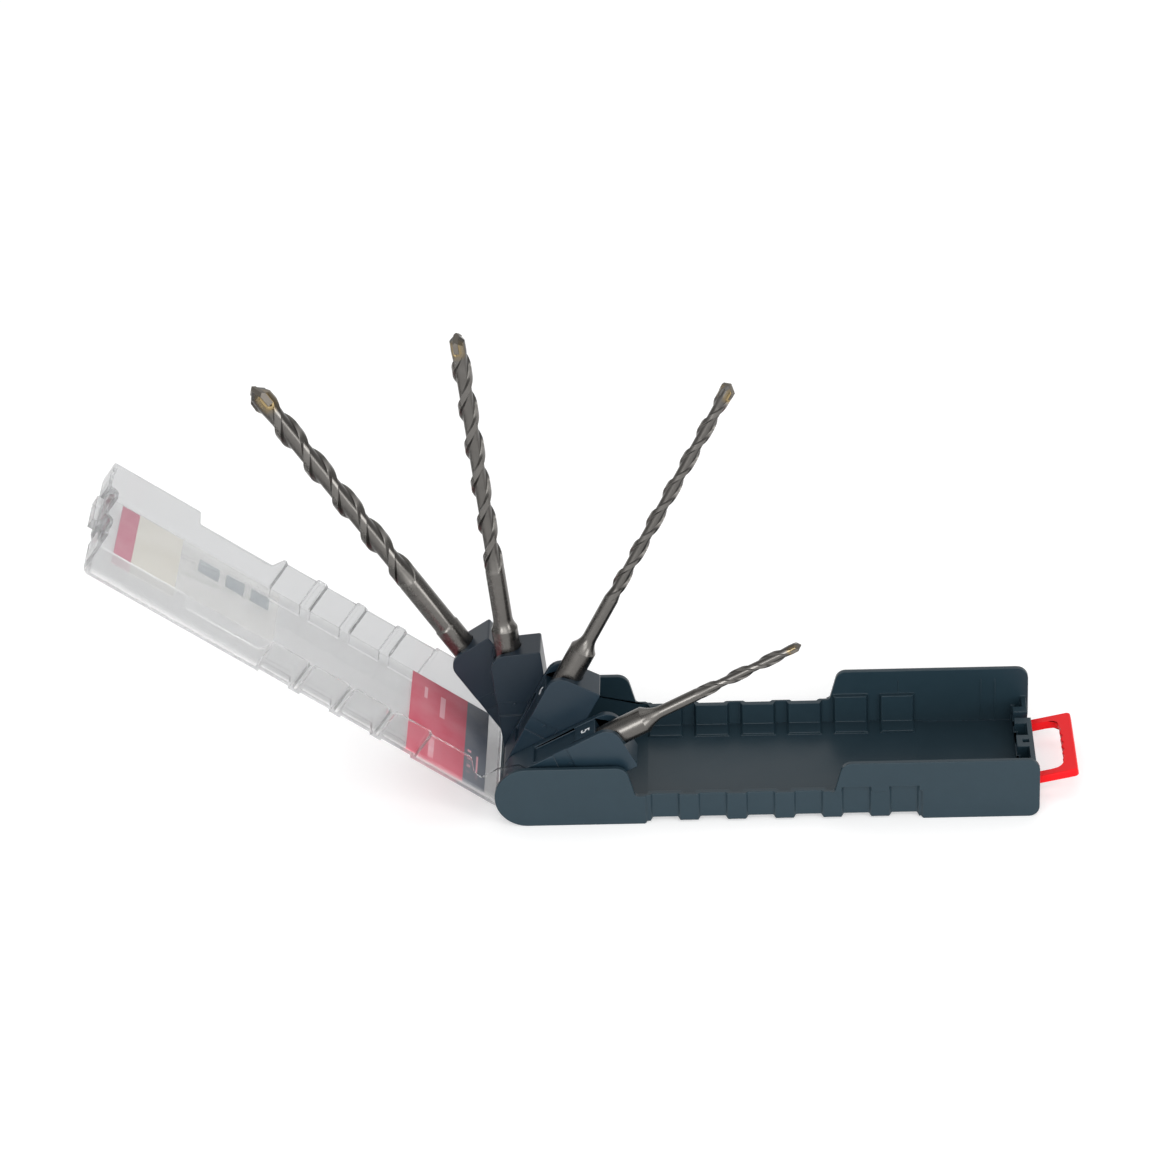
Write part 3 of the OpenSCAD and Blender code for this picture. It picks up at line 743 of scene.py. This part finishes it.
@dataclass
class Lid:
    """The clear lid and its two printed sheets."""

    hinge_frame: SwingFrame
    rounding: Rounding = Rounding(0.25)
    finish: ClearPlastic = field(default_factory=ClearPlastic)
    red: tuple = rgb(208, 90, 110)
    dark: tuple = rgb(106, 111, 122)
    pale: tuple = rgb(224, 221, 212)
    pink: tuple = rgb(190, 130, 144)
    grey: tuple = rgb(150, 160, 166)
    light: tuple = rgb(232, 170, 180)

    def prints(self) -> tuple[Print, Print]:
        """The hinge end's print, with lines and square marks, and the free end's, with a band and three boxes."""
        origin, turn = self.hinge_frame.hinge, self.hinge_frame.turn
        rows = (Block(32.5, 34.7, 6.0, 21.0, self.light), Block(40.6, 42.0, 14.0, 22.0, self.light),
                Block(36.0, 38.4, -25.0, -12.0, self.light), Block(16.6, 17.4, -20.0, -7.0, self.light))
        marks = tuple(Block(19.8, 21.4, y, y + 1.6, self.light) for y in (-7.0, -12.0, -17.0))
        hinge = Print("hinge_print", origin, turn, self.red,
                      (Block(12.0, 22.8, -40.0, 40.0, self.dark),) + rows + marks)
        boxes = tuple(Block(u0, u1, 12.0, 21.0, self.grey, 0.35)
                      for u0, u1 in ((134.0, 143.0), (123.0, 131.0), (112.0, 120.0)))
        band = Block(151.0, 170.0, -40.0, 40.0, self.pale, 0.55)
        front = Print("front_print", origin, turn, self.pale,
                      (Block(170.0, 180.0, -40.0, 40.0, self.pink), band) + boxes, cover=0.06)
        return hinge, front

    def build(self, frame: dict) -> None:
        """Makes the lid's piece and dresses the labels.
        """
        piece = self.rounding.copy(frame["nodes"]["lid_cover"], "lid_clear", self.finish.build())
        hand_in(piece, "lid", Slot.CLEAR, "lid_cover")
        hinge, front = self.prints()
        dress(frame["nodes"]["hinge_label"], hinge.build())
        dress(frame["nodes"]["front_label"], front.build())


@dataclass
class Holder:
    """One swinging bit holder with the number of its bit on the bridge."""

    size: int
    slot: Slot
    swing: SwingFrame
    across: float                # y of its middle, millimetres
    finish: Moulding
    ink: bpy.types.Material
    rounding: Rounding = Rounding(0.3)
    numeral_height: float = 3.6
    numeral_share: float = 0.7   # height of a numeral in the font, of its size
    numeral_weight: float = 0.05
    numeral_depth: float = 0.04
    numeral_u: float = 29.8
    bridge_top: float = 9.2

    def numeral(self) -> bpy.types.Object:
        """The number as a thin raised print: its top points to the mouth and it reads towards the front."""
        curve = bpy.data.curves.new(f"numeral_{self.size}", "FONT")
        curve.body = str(self.size)
        curve.align_x, curve.align_y = "CENTER", "CENTER"
        curve.size = self.numeral_height / self.numeral_share
        curve.extrude = self.numeral_depth
        curve.offset = self.numeral_weight
        text = bpy.data.objects.new("numeral_outline", curve)
        bpy.context.scene.collection.objects.link(text)
        bpy.context.view_layer.update()
        drawn = bpy.data.meshes.new_from_object(text.evaluated_get(bpy.context.evaluated_depsgraph_get()))
        bpy.data.objects.remove(text)
        flat = np.empty(len(drawn.vertices) * 3, np.float32)
        drawn.vertices.foreach_get("co", flat)
        right, up, out = flat.reshape(-1, 3).T
        local = np.stack((self.numeral_u + up, self.across - right, self.bridge_top + out), -1)
        faces = [list(face.vertices) for face in drawn.polygons]
        return new_object(f"numeral_{self.size}", self.swing.place(local), faces, self.ink)

    def build(self, frame: dict) -> None:
        """Makes the holder's piece and its number.
        """
        node = f"holder_{self.size}"
        body = f"swing_{self.size}"
        piece = self.rounding.copy(frame["nodes"][node], f"{node}_moulding", self.finish.build())
        hand_in(piece, body, self.slot, node)
        hand_in(self.numeral(), body, Slot.LABEL_WHITE)


@dataclass
class DrillBit:
    """One hammer drill bit: its fluted steel, the carbide plate across its head and the braze round the plate.

    The bit's own frame has z along the bit from its shank end and x along the carbide plate, in millimetres.
    Angles are in degrees. A share is of the bit's size, unless it says otherwise.
    """

    swing: SwingFrame
    across: float                # y of the bit's middle line
    size: float
    seat: float                  # from the axle to the bit's end
    shoulder: float              # from the axle to the end of the round shank
    length: float
    flutes: float                # length of the fluted part
    taper: float                 # length of the hollow taper to the neck
    pitch: float                 # length in which the section turns once
    plate_turn: float            # how far the plate is turned round the bit
    land_turn: float             # from the plate to the middle of the land below it
    offset: float = 2.7          # from the axle to the bit's middle line, along w
    # Shank and its cuts
    shank_r: float = 5.0
    end_gap: float = 0.03        # what the steel leaves free of its seat
    chamfer: float = 0.5
    slot_depth: float = 1.0
    slot_w: float = 2.5
    slot_l: float = 20.0
    ball_r: float = 1.8
    ball_out: float = 0.6        # how far the grooves' middle line lies outside the shank
    ball_mid: float = 9.0        # from the bit's end to the grooves' middle
    ball_l: float = 14.0
    # Flutes
    body_share: float = 0.92     # diameter of the fluted steel
    core_depth: float = 0.32     # of the body's radius
    land_end: float = 36.0       # angle of the section where the land falls off
    trail: float = 17.0          # angle in which it falls to the flute's floor
    lead: float = 12.0           # angle in which the floor rises to the next cutting edge
    run_out: float = 1.0         # length in which the flutes fade out on the neck
    run_power: float = 1.3
    # Head
    head_share: float = 0.9      # height of the head
    head_run: float = 0.8        # length below the head in which the flutes get shallower
    head_lift: float = 0.35      # by how much, of the body's radius
    head_draft: float = 0.97     # radius at the roof's edge, of the radius below
    top_gap: float = 0.02        # how far the steel's roof lies below the plate's point
    point_slope: float = 0.56    # fall of the point along the plate
    relief_slope: float = 1.05   # fall of the steel across the plate
    plate_share: float = 0.25    # thickness of the plate
    plate_relief: float = 0.85   # fall of the plate's own roof towards its faces
    plate_base: float = 0.02     # height of its foot above the head's start
    plate_foot: float = 0.96     # width of the foot
    plate_flank: float = 0.3     # height above the head's start from which it is as wide as the bit
    plate_edge: float = 0.62     # and at which its own roof begins
    plate_bevel: float = 0.06    # millimetres
    # Braze
    bead_r: float = 0.09
    bead_sides: int = 8
    bead_gap: float = 0.015      # from the plate's face to the bead's middle line
    bead_inset: float = 0.95     # radius of the line that the bead follows, of the body's radius
    roof_sunk: float = 0.10      # how deep the bead's middle line lies in the roof
    side_sunk: float = 0.068     # and in the head's side
    tint_reach: float = 0.30     # how far the braze's gold spreads on the steel
    tint_full: float = 0.25      # up to where it is full, of that
    tint_clear: float = 0.35     # radius that stays free of it, of the body's radius
    tint_roof: float = 0.25      # what is left of it on the roof
    tint_edge: float = 0.45      # height above the head's start from which it gets less
    tint_blend: float = 0.2      # and in how much height
    # Shine: how much of a surface is painted lighter as land, partly the steel's own polish and partly painted
    # highlight, from 0 to 1
    land_from: float = 0.9       # radius from which it grows, of the turned blank's
    land_blend: float = 0.08     # and up to 1 in so much more
    turned_shine: float = 0.5    # of the shank and the neck
    roof_shine: float = 0.8
    # Grid
    step: float = 0.5            # from one ring of points to the next
    first_step: float = 0.3      # from the chamfer to the first of them
    turn_step: float = 2.5       # from one point of a ring to the next
    edge_step: float = 0.7       # from a land's edge to the points on both sides of it

    @property
    def body_r(self) -> float:
        """Radius of the fluted steel."""
        return self.size * self.body_share / 2

    @property
    def shank_l(self) -> float:
        """Length of the round shank."""
        return self.shoulder - self.seat

    @property
    def flute_start(self) -> float:
        """Where the flutes run out on the neck."""
        return self.length - self.flutes

    @property
    def head_start(self) -> float:
        """Where the head with the carbide plate begins."""
        return self.length - self.head_share * self.size

    @property
    def roof_top(self) -> float:
        """Height of the steel roof's top."""
        return self.length - self.top_gap * self.size

    def place(self, local: np.ndarray) -> np.ndarray:
        """Row frame places of points in the bit's own frame: z runs out from the axle and x lies across w.

        Args:
            local: Points (..., 3) in millimetres.

        Returns:
            Points of the same shape, in metres.
        """
        x, y, z = np.moveaxis(local, -1, 0)
        turn = math.radians(self.plate_turn)
        side = x * math.cos(turn) - y * math.sin(turn)
        deep = x * math.sin(turn) + y * math.cos(turn)
        return self.swing.place(np.stack((self.seat + z, self.across + deep, self.offset - side), -1))

    def columns(self) -> np.ndarray:
        """Angles of the section in degrees: even steps, closer at both edges of the two lands."""
        near = self.edge_step
        edges = np.array([-near, near, self.land_end - near, self.land_end + near]) + np.array([[0.0], [180.0]])
        return np.unique(np.concatenate((np.arange(0.0, 360.0, self.turn_step), np.mod(edges, 360.0).ravel())))

    def stations(self) -> np.ndarray:
        """Heights of the rings from the shank's end to the head, with rings on each change of form."""
        marks = np.array([self.end_gap, self.chamfer / 2, self.chamfer])
        rings = np.arange(self.chamfer + self.first_step, self.head_start, self.step)
        taper = self.shank_l + self.taper * np.linspace(0, 1, 9)
        return np.unique(np.concatenate((marks, rings, taper, [self.head_start])))

    def outer_radius(self, z: np.ndarray) -> np.ndarray:
        """Radius of the turned blank: chamfered end, round shank, hollow taper and neck.

        Args:
            z: Heights in millimetres.

        Returns:
            Radii. The taper falls as the square of what is left of it, from a sharp shoulder.
        """
        left = np.clip(1 - (z - self.shank_l) / self.taper, 0, 1)
        taper = self.body_r + (self.shank_r - self.body_r) * left ** 2
        return np.where(z <= self.shank_l, self.shank_r - np.clip(self.chamfer - z, 0, self.chamfer), taper)

    def flute_share(self, phase: np.ndarray) -> np.ndarray:
        """Radius of the fluted section, of the body's radius.

        Args:
            phase: Angle from a cutting edge, degrees, with the same form each half turn.

        Returns:
            1 on the land, which falls off in a smooth step to the flute's floor, and rises from it in a quarter
            sine to the next cutting edge.
        """
        a = np.mod(phase, 180.0)
        fall = np.clip((a - self.land_end) / self.trail, 0, 1)
        rise = np.clip((180.0 - a) / self.lead, 0, 1)
        return 1 - self.core_depth * fall ** 2 * (3 - 2 * fall) * np.sin(rise * math.pi / 2)

    def grooves(self, z: np.ndarray, angle: np.ndarray) -> np.ndarray:
        """Largest radius that the shank's cuts leave: two open slots across x and two ball grooves across y.

        Args:
            z: Heights in millimetres.
            angle: Angles in degrees.

        Returns:
            Radii, infinite where nothing is cut. A slot's floor is flat, and a groove is part of a round rod.
        """
        cos, sin = np.cos(np.radians(angle)), np.sin(np.radians(angle))
        flat = (self.shank_r - self.slot_depth) / np.maximum(np.abs(cos), 1e-3)
        slot = np.where((np.abs(sin) * self.shank_r < self.slot_w / 2) & (z < self.slot_l), flat, np.inf)
        over = np.clip(np.abs(z - self.ball_mid) - (self.ball_l / 2 - self.ball_r), 0, self.ball_r)
        rod = np.sqrt(self.ball_r ** 2 - over ** 2)
        rod_out = self.shank_r + self.ball_out
        inside = rod ** 2 - (rod_out * cos) ** 2
        depth = rod_out * np.abs(sin) - np.sqrt(np.maximum(inside, 0))
        return np.minimum(slot, np.where(inside > 0, depth, np.inf))

    def steel(self) -> tuple[np.ndarray, np.ndarray]:
        """Grid of the steel's surface and how much each point is painted lighter as land, partly its own polish and
        partly painted highlight.

        Returns:
            Points (rows, columns, 3) in the bit's frame, and shares (rows, columns). The section turns once a
            pitch above the neck. The head's last rings climb to a four-sided roof over the plate.
        """
        a = self.columns()[None, :]
        z = self.stations()[:, None]
        head_run = self.head_run * self.size
        left = np.clip((z - self.flute_start) / (self.run_out * self.size), 0, 1)
        fade = np.clip((z - self.head_start + head_run) / head_run, 0, 1)
        lift = (1 - left) ** self.run_power + self.head_lift * fade
        blank = self.outer_radius(z)
        share = np.minimum(1.0, self.flute_share(a) + self.core_depth * lift)
        above = z > self.flute_start
        radius = np.minimum(np.where(above, blank * share, blank), self.grooves(z, a))
        twist = np.where(above, (z - self.flute_start) / self.pitch * 360.0, 0.0)
        full_twist = (self.head_start - self.flute_start) / self.pitch * 360.0
        middle = self.land_end / 2 + self.trail / 4
        angle = np.radians(a + twist - full_twist - middle + self.land_turn)
        body = np.stack((radius * np.cos(angle), radius * np.sin(angle), np.broadcast_to(z, radius.shape)), -1)
        # Lands painted lighter: partly their polish, partly painted highlight
        bright = np.clip((share - self.land_from) / self.land_blend, 0, 1)
        land = np.where(above, bright, self.turned_shine) * np.ones_like(radius)
        edge_r = radius[-1:] * self.head_draft
        cos, sin = np.cos(angle[-1:]), np.sin(angle[-1:])
        fall = self.point_slope * np.abs(cos) + self.relief_slope * np.abs(sin)
        rise = np.linspace(0, 1, 9)[1:, None]
        side_z = self.head_start + (self.roof_top - fall * edge_r - self.head_start) * rise
        side_r = radius[-1:] + (edge_r - radius[-1:]) * rise
        side = np.stack((side_r * cos, side_r * sin, side_z), -1)
        inwards = np.array([0.97, 0.8, 0.6, 0.4, 0.2, 0.06])[:, None]
        roof_r = edge_r * inwards
        roof = np.stack((roof_r * cos, roof_r * sin, self.roof_top - fall * roof_r), -1)
        grid = np.concatenate((body[:1] * np.array([0.4, 0.4, 1.0]), body, side, roof))
        roof_shine = np.full(roof.shape[:2], self.roof_shine)
        return grid, np.concatenate((land[:1], land, np.repeat(land[-1:], len(rise), 0), roof_shine))

    def braze_tint(self, grid: np.ndarray) -> np.ndarray:
        """How much of the braze's gold lies on each point of the steel.

        Args:
            grid: Points (..., 3) in the bit's frame.

        Returns:
            Shares (...): full round the plate's ends, falling off straight with the distance from the plate, none
            near the bit's middle line and little on the roof.
        """
        x, y, z = np.moveaxis(grid, -1, 0)
        away = np.clip(np.abs(y) - self.plate_share * self.size / 2, 0, None)
        below = np.clip(self.head_start - z, 0, None)
        near = np.clip(1 + self.tint_full - np.hypot(away, below) / (self.tint_reach * self.size), 0, 1)
        roof = np.clip((z - self.head_start - self.tint_edge * self.size) / (self.tint_blend * self.size), 0, 1)
        return near * (np.abs(x) > self.body_r * self.tint_clear) * (1 - (1 - self.tint_roof) * roof)

    def plate(self) -> tuple[np.ndarray, list]:
        """Carbide plate: one outline at both faces and the middle, its roof lower at the faces.

        Returns:
            Points in the bit's frame and faces. The outline climbs one side from the foot to the point, and the
            other side mirrors it.
        """
        half = self.plate_share * self.size / 2
        left = np.array([[-self.plate_foot / 2, self.plate_base], [-0.5, self.plate_flank], [-0.5, self.plate_edge]])
        point = np.array([[0.0, self.head_share]])
        outline = np.concatenate((left, point, left[::-1] * np.array([-1.0, 1.0]))) * self.size
        on_roof = np.array([0, 0, 1, 1, 1, 0, 0])
        y = np.array([-half, 0.0, half])[:, None]
        height = self.head_start + outline[:, 1] - on_roof * self.plate_relief * np.abs(y)
        points = np.stack(np.broadcast_arrays(outline[:, 0], y, height), -1)
        faces = grid_faces(*height.shape, True)[:, ::-1].tolist()
        count = len(outline)
        return points.reshape(-1, 3), faces + [list(range(count)), list(range(3 * count - 1, 2 * count - 1, -1))]

    def braze_path(self) -> tuple[np.ndarray, np.ndarray]:
        """Closed line round the plate, over the roof and in a round turn below each end.

        Returns:
            Points and outward directions, in the bit's frame.
        """
        half = self.plate_share * self.size / 2 + self.bead_gap * self.size
        head_r = self.body_r * self.bead_inset
        reach = math.sqrt(head_r ** 2 - half ** 2)
        ridge = self.roof_top - self.relief_slope * half
        low = self.head_start + self.plate_base * self.size
        x = np.linspace(-reach, reach, 15)
        roof = np.stack((x, np.full(15, half), ridge - self.point_slope * np.abs(x)), -1)
        roof_out = np.stack((np.sign(x) * 0.4, np.full(15, 0.5), np.full(15, 0.8)), -1)
        turn = np.radians(np.linspace(0, 180, 11))
        y = half * np.cos(turn)
        bend = np.stack((np.sqrt(head_r ** 2 - y ** 2), y, low - half * np.sin(turn)), -1)
        bend_out = bend * np.array([1.0, 1.0, 0.0]) / head_r
        z = np.linspace(ridge - self.point_slope * reach, low, 8)[1:-1]
        down = np.stack((np.full(6, reach), np.full(6, half), z), -1)
        down_out = down * np.array([1.0, 1.0, 0.0]) / head_r
        near = np.concatenate((roof, down, bend, down[::-1] * np.array([1.0, -1.0, 1.0])))
        near_out = np.concatenate((roof_out, down_out, bend_out, down_out[::-1] * np.array([1.0, -1.0, 1.0])))
        other_half = np.array([-1.0, -1.0, 1.0])
        return np.concatenate((near, near * other_half)), np.concatenate((near_out, near_out * other_half))

    def braze(self) -> tuple[np.ndarray, list]:
        """Low bead of braze: a round rod carried round the plate, sunk into the steel and wholly below the roof.

        Returns:
            Points in the bit's frame and faces.
        """
        path, out = self.braze_path()
        sides = self.bead_sides
        sunk = np.where(out[:, 2] > 0.1, self.roof_sunk, self.side_sunk)[:, None] * self.size
        out = out / np.linalg.norm(out, axis=1, keepdims=True)
        ahead = np.roll(path, -1, 0) - np.roll(path, 1, 0)
        ahead /= np.linalg.norm(ahead, axis=1, keepdims=True)
        across = np.cross(ahead, out)
        across /= np.linalg.norm(across, axis=1, keepdims=True)
        angle = np.arange(sides) / sides * 2 * math.pi
        ring = np.cos(angle)[None, :, None] * across[:, None] + np.sin(angle)[None, :, None] * out[:, None]
        points = (path - out * sunk)[:, None] + ring * self.bead_r * self.size
        faces = grid_faces(len(path), sides, True)
        last = (len(path) - 1) * sides + np.arange(sides)
        after = (np.arange(sides) + 1) % sides
        seam = np.stack((last, last[0] + after, after, np.arange(sides)), -1)
        return points.reshape(-1, 3), np.concatenate((faces, seam)).tolist()

    def build(self, carbide: bpy.types.Material, brass: bpy.types.Material) -> None:
        """Makes the steel, the plate and the braze.

        Args:
            carbide: Finish of the plate.
            brass: Finish of the braze.
        """
        number = f"{self.size:g}"
        body = f"drill_{number}"
        origin = Vector(self.place(np.zeros(3)))
        turn = Euler((0.0, math.pi / 2 - math.radians(self.swing.angle), 0.0))
        steel = BitSteel(f"steel_{number}", origin, turn).build()
        grid, shine = self.steel()
        points, faces = closed_surface(grid)
        piece = new_object(f"bit_steel_{number}", self.place(points), faces, steel, crease=20.0)
        # Land share per point: painted highlight on lands, shank, neck and roof, partly the steel's own polish
        land = piece.data.attributes.new("land", "FLOAT", "POINT")
        poles = [self.turned_shine, self.roof_shine]
        land.data.foreach_set("value", np.concatenate((shine.ravel(), poles)).astype(np.float32))
        tint = piece.data.attributes.new("braze", "FLOAT", "POINT")
        tint.data.foreach_set("value", self.braze_tint(points).astype(np.float32))
        hand_in(piece, body, Slot.STEEL, f"bit_{number}")
        points, faces = self.plate()
        plate = new_object(f"carbide_plate_{number}", self.place(points), faces, carbide)
        bevel = plate.modifiers.new("ground_edges", "BEVEL")
        bevel.width, bevel.segments, bevel.limit_method = self.plate_bevel * MM, 1, "ANGLE"
        hand_in(plate, body, Slot.CARBIDE, f"carbide_{number}")
        points, faces = self.braze()
        hand_in(new_object(f"braze_{number}", self.place(points), faces, brass), body, Slot.CARBIDE)


@dataclass
class PullLatch:
    """The soft-edged red pull latch."""

    rounding: Rounding = Rounding(0.5, segments=3)
    finish: Moulding = field(default_factory=lambda: Moulding(
        "latch_moulding", rgb(238, 8, 20), roughness=0.40, gloss=0.2, grain=0.3, grain_height=0.002, cloud=0.05))

    def build(self, frame: dict) -> None:
        """Makes the latch's piece.
        """
        piece = self.rounding.copy(frame["nodes"]["pull_latch"], "latch_moulding", self.finish.build())
        hand_in(piece, "latch", Slot.LATCH, "pull_latch")


# ---- Studio ----


@dataclass(frozen=True)
class Softbox:
    """A square lamp: where it hangs, what it points at, its side in metres and its power in watts."""

    name: str
    place: tuple
    aim: tuple
    side: float
    power: float

    def build(self) -> None:
        """Hangs the lamp."""
        light = bpy.data.lights.new(self.name, "AREA")
        light.shape, light.size, light.energy = "SQUARE", self.side, self.power
        lamp = bpy.data.objects.new(self.name, light)
        lamp.location = self.place
        lamp.rotation_euler = (Vector(self.aim) - Vector(self.place)).to_track_quat("-Z", "Y").to_euler()
        bpy.context.scene.collection.objects.link(lamp)


@dataclass(frozen=True)
class Studio:
    """White floor, soft lamps and the camera at the photograph's angle. Places are in metres."""

    camera_place: tuple = (-0.01412, -1.54881, 0.94956)
    camera_aim: tuple = (-0.06799, 0.0, 0.08597)
    camera_roll: float = -2.22
    lens: float = 147.45         # millimetres, on a sensor 36 wide
    floor_half: float = 6.0
    floor_tone: tuple = (0.74, 0.74, 0.74, 1.0)
    floor_glow: float = 0.40     # light of the floor's own, as of a lit table
    sky: float = 0.42
    front_glow: float = 1.25     # how much brighter the room is low behind the camera
    front_way: tuple = (-0.92, 0.38)   # y and z of the way there
    front_patch: tuple = (0.55, 0.98)  # cosines to that way at the bright patch's rim and at its even middle
    back_glow: float = 0.42      # the same behind the case
    back_way: tuple = (0.87, 0.5)
    back_patch: tuple = (0.3, 0.95)
    lamps: tuple[Softbox, ...] = (
        Softbox("overhead", (0.0, 0.3, 1.5), (0.0, 0.0, 0.0), 1.0, 1.8),
        Softbox("front", (0.1, -1.65, 0.55), (0.0, 0.0, 0.05), 0.8, 4.5),
        Softbox("low_left", (-0.72, -1.4, 0.36), (0.0, 0.0, 0.1), 0.55, 5.0),
        Softbox("low_right", (1.15, -1.0, 0.32), (0.0, 0.0, 0.1), 0.55, 5.0),
        Softbox("key", (1.0, -0.9, 1.2), (0.0, 0.0, 0.1), 0.3, 2.5),
    )

    def floor(self) -> None:
        """Lays a plain white floor."""
        material = bpy.data.materials.new("floor_white")
        g = Graph(material)
        g.surface(g.add("ShaderNodeBsdfPrincipled", None, {
            "Base Color": self.floor_tone, "Roughness": 0.9, "Specular IOR Level": 0.1,
            "Emission Color": (1.0, 1.0, 1.0, 1.0), "Emission Strength": self.floor_glow}))
        half = self.floor_half
        corners = np.array([[-half, -half, 0], [half, -half, 0], [half, half, 0], [-half, half, 0]], float)
        new_object("floor", corners, [[0, 1, 2, 3]], material)

    def world(self) -> None:
        """Surrounds the case with soft light, brighter low behind the camera and low behind the case."""
        world = bpy.data.worlds.new("studio")
        bpy.context.scene.world = world
        g = Graph(world)
        _, y, z = g.split(g.add("ShaderNodeTexCoord", output="Generated"))

        def patch(way: tuple, rim: float, middle: float) -> Wire:
            """1 round a way and 0 far from it: a smooth step of the cosine between rim and middle."""
            return g.add("ShaderNodeMapRange", {"clamp": True, "interpolation_type": "SMOOTHSTEP"},
                         {0: y * way[0] + z * way[1], 1: rim, 2: middle, 3: 0.0, 4: 1.0})

        front, behind = patch(self.front_way, *self.front_patch), patch(self.back_way, *self.back_patch)
        g.add_output("ShaderNodeOutputWorld", g.add("ShaderNodeBackground", None, {
            "Color": (1.0, 1.0, 1.0, 1.0),
            "Strength": front * self.front_glow + behind * self.back_glow + self.sky}))

    def camera(self) -> None:
        """Sets the camera: aimed at a point, then rolled round its view."""
        scene = bpy.context.scene
        data = bpy.data.cameras.new("camera")
        data.lens, data.sensor_width = self.lens, 36.0
        camera = bpy.data.objects.new("camera", data)
        scene.collection.objects.link(camera)
        look = (Vector(self.camera_aim) - Vector(self.camera_place)).to_track_quat("-Z", "Y")
        roll = Matrix.Rotation(math.radians(self.camera_roll), 4, "Z")
        camera.matrix_world = Matrix.Translation(self.camera_place) @ look.to_matrix().to_4x4() @ roll
        scene.camera = camera

    def build(self) -> None:
        """Makes the floor, the light and the camera."""
        self.floor()
        self.world()
        for lamp in self.lamps:
            lamp.build()
        self.camera()
        bpy.context.scene.view_settings.view_transform = "Standard"
        LOG.info("studio is set")


# ---- The case ----


# Slot and tone of each holder, by the size of its bit
HOLDERS = {
    10: (Slot.NAVY, (0.0125, 0.0222, 0.034, 1.0)),
    8: (Slot.BLUE, (0.0065, 0.0148, 0.0245, 1.0)),
    6: (Slot.SLATE, (0.0085, 0.0205, 0.0325, 1.0)),
    5: (Slot.PETROL, (0.0118, 0.027, 0.040, 1.0)),
}
# Sizes of each bit
BITS = {
    10: {"seat": 16.0, "shoulder": 51.8, "length": 160.0, "flutes": 100.0, "taper": 1.4, "pitch": 36.0,
         "plate_turn": -55.0, "land_turn": 46.0},
    8: {"seat": 15.0, "shoulder": 50.1, "length": 160.0, "flutes": 100.0, "taper": 4.6, "pitch": 32.0,
        "plate_turn": 81.0, "land_turn": 24.0},
    6: {"seat": 17.2, "shoulder": 53.3, "length": 160.0, "flutes": 100.0, "taper": 5.8, "pitch": 28.0,
        "plate_turn": -45.0, "land_turn": 53.0},
    5: {"seat": 8.3, "shoulder": 52.0, "length": 110.0, "flutes": 44.0, "taper": 7.4, "pitch": 27.0,
        "plate_turn": -90.0, "land_turn": -3.0},
}


def main() -> None:
    """Builds the looks of every sub-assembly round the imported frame."""
    logging.basicConfig(level=logging.INFO, format="%(name)s: %(message)s")
    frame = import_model()
    Studio().build()
    joints = {joint["name"]: joint for joint in frame["joints"]}

    def swing(joint: str) -> SwingFrame:
        """Frame of what swings on a joint, as far open as the joint goes."""
        hinge = Vector(joints[joint]["pos_m"])
        hinge.y = 0.0
        return SwingFrame(hinge, joints[joint]["range_deg"][1])

    Tray().build(frame)
    Lid(swing("lid_hinge")).build(frame)
    white = Moulding("numeral_ink", rgb(226, 230, 232), roughness=0.5).build()
    carbide = PlainMetal("carbide_ground", (0.17, 0.155, 0.135, 1.0), 0.48).build()
    brass = PlainMetal("braze_gold", (0.33, 0.25, 0.13, 1.0), 0.45, stray=0.4).build()
    for size, (slot, tone) in HOLDERS.items():
        frame_of = swing(f"swing_{size}_hinge")
        low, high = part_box(f"holder_{size}")
        across = (low.y + high.y) / 2 / MM
        Holder(size, slot, frame_of, across, Moulding(f"{slot.value}_moulding", tone), white).build(frame)
        DrillBit(frame_of, across, float(size), **BITS[size]).build(carbide, brass)
    PullLatch().build(frame)


if __name__ == "__main__":
    main()
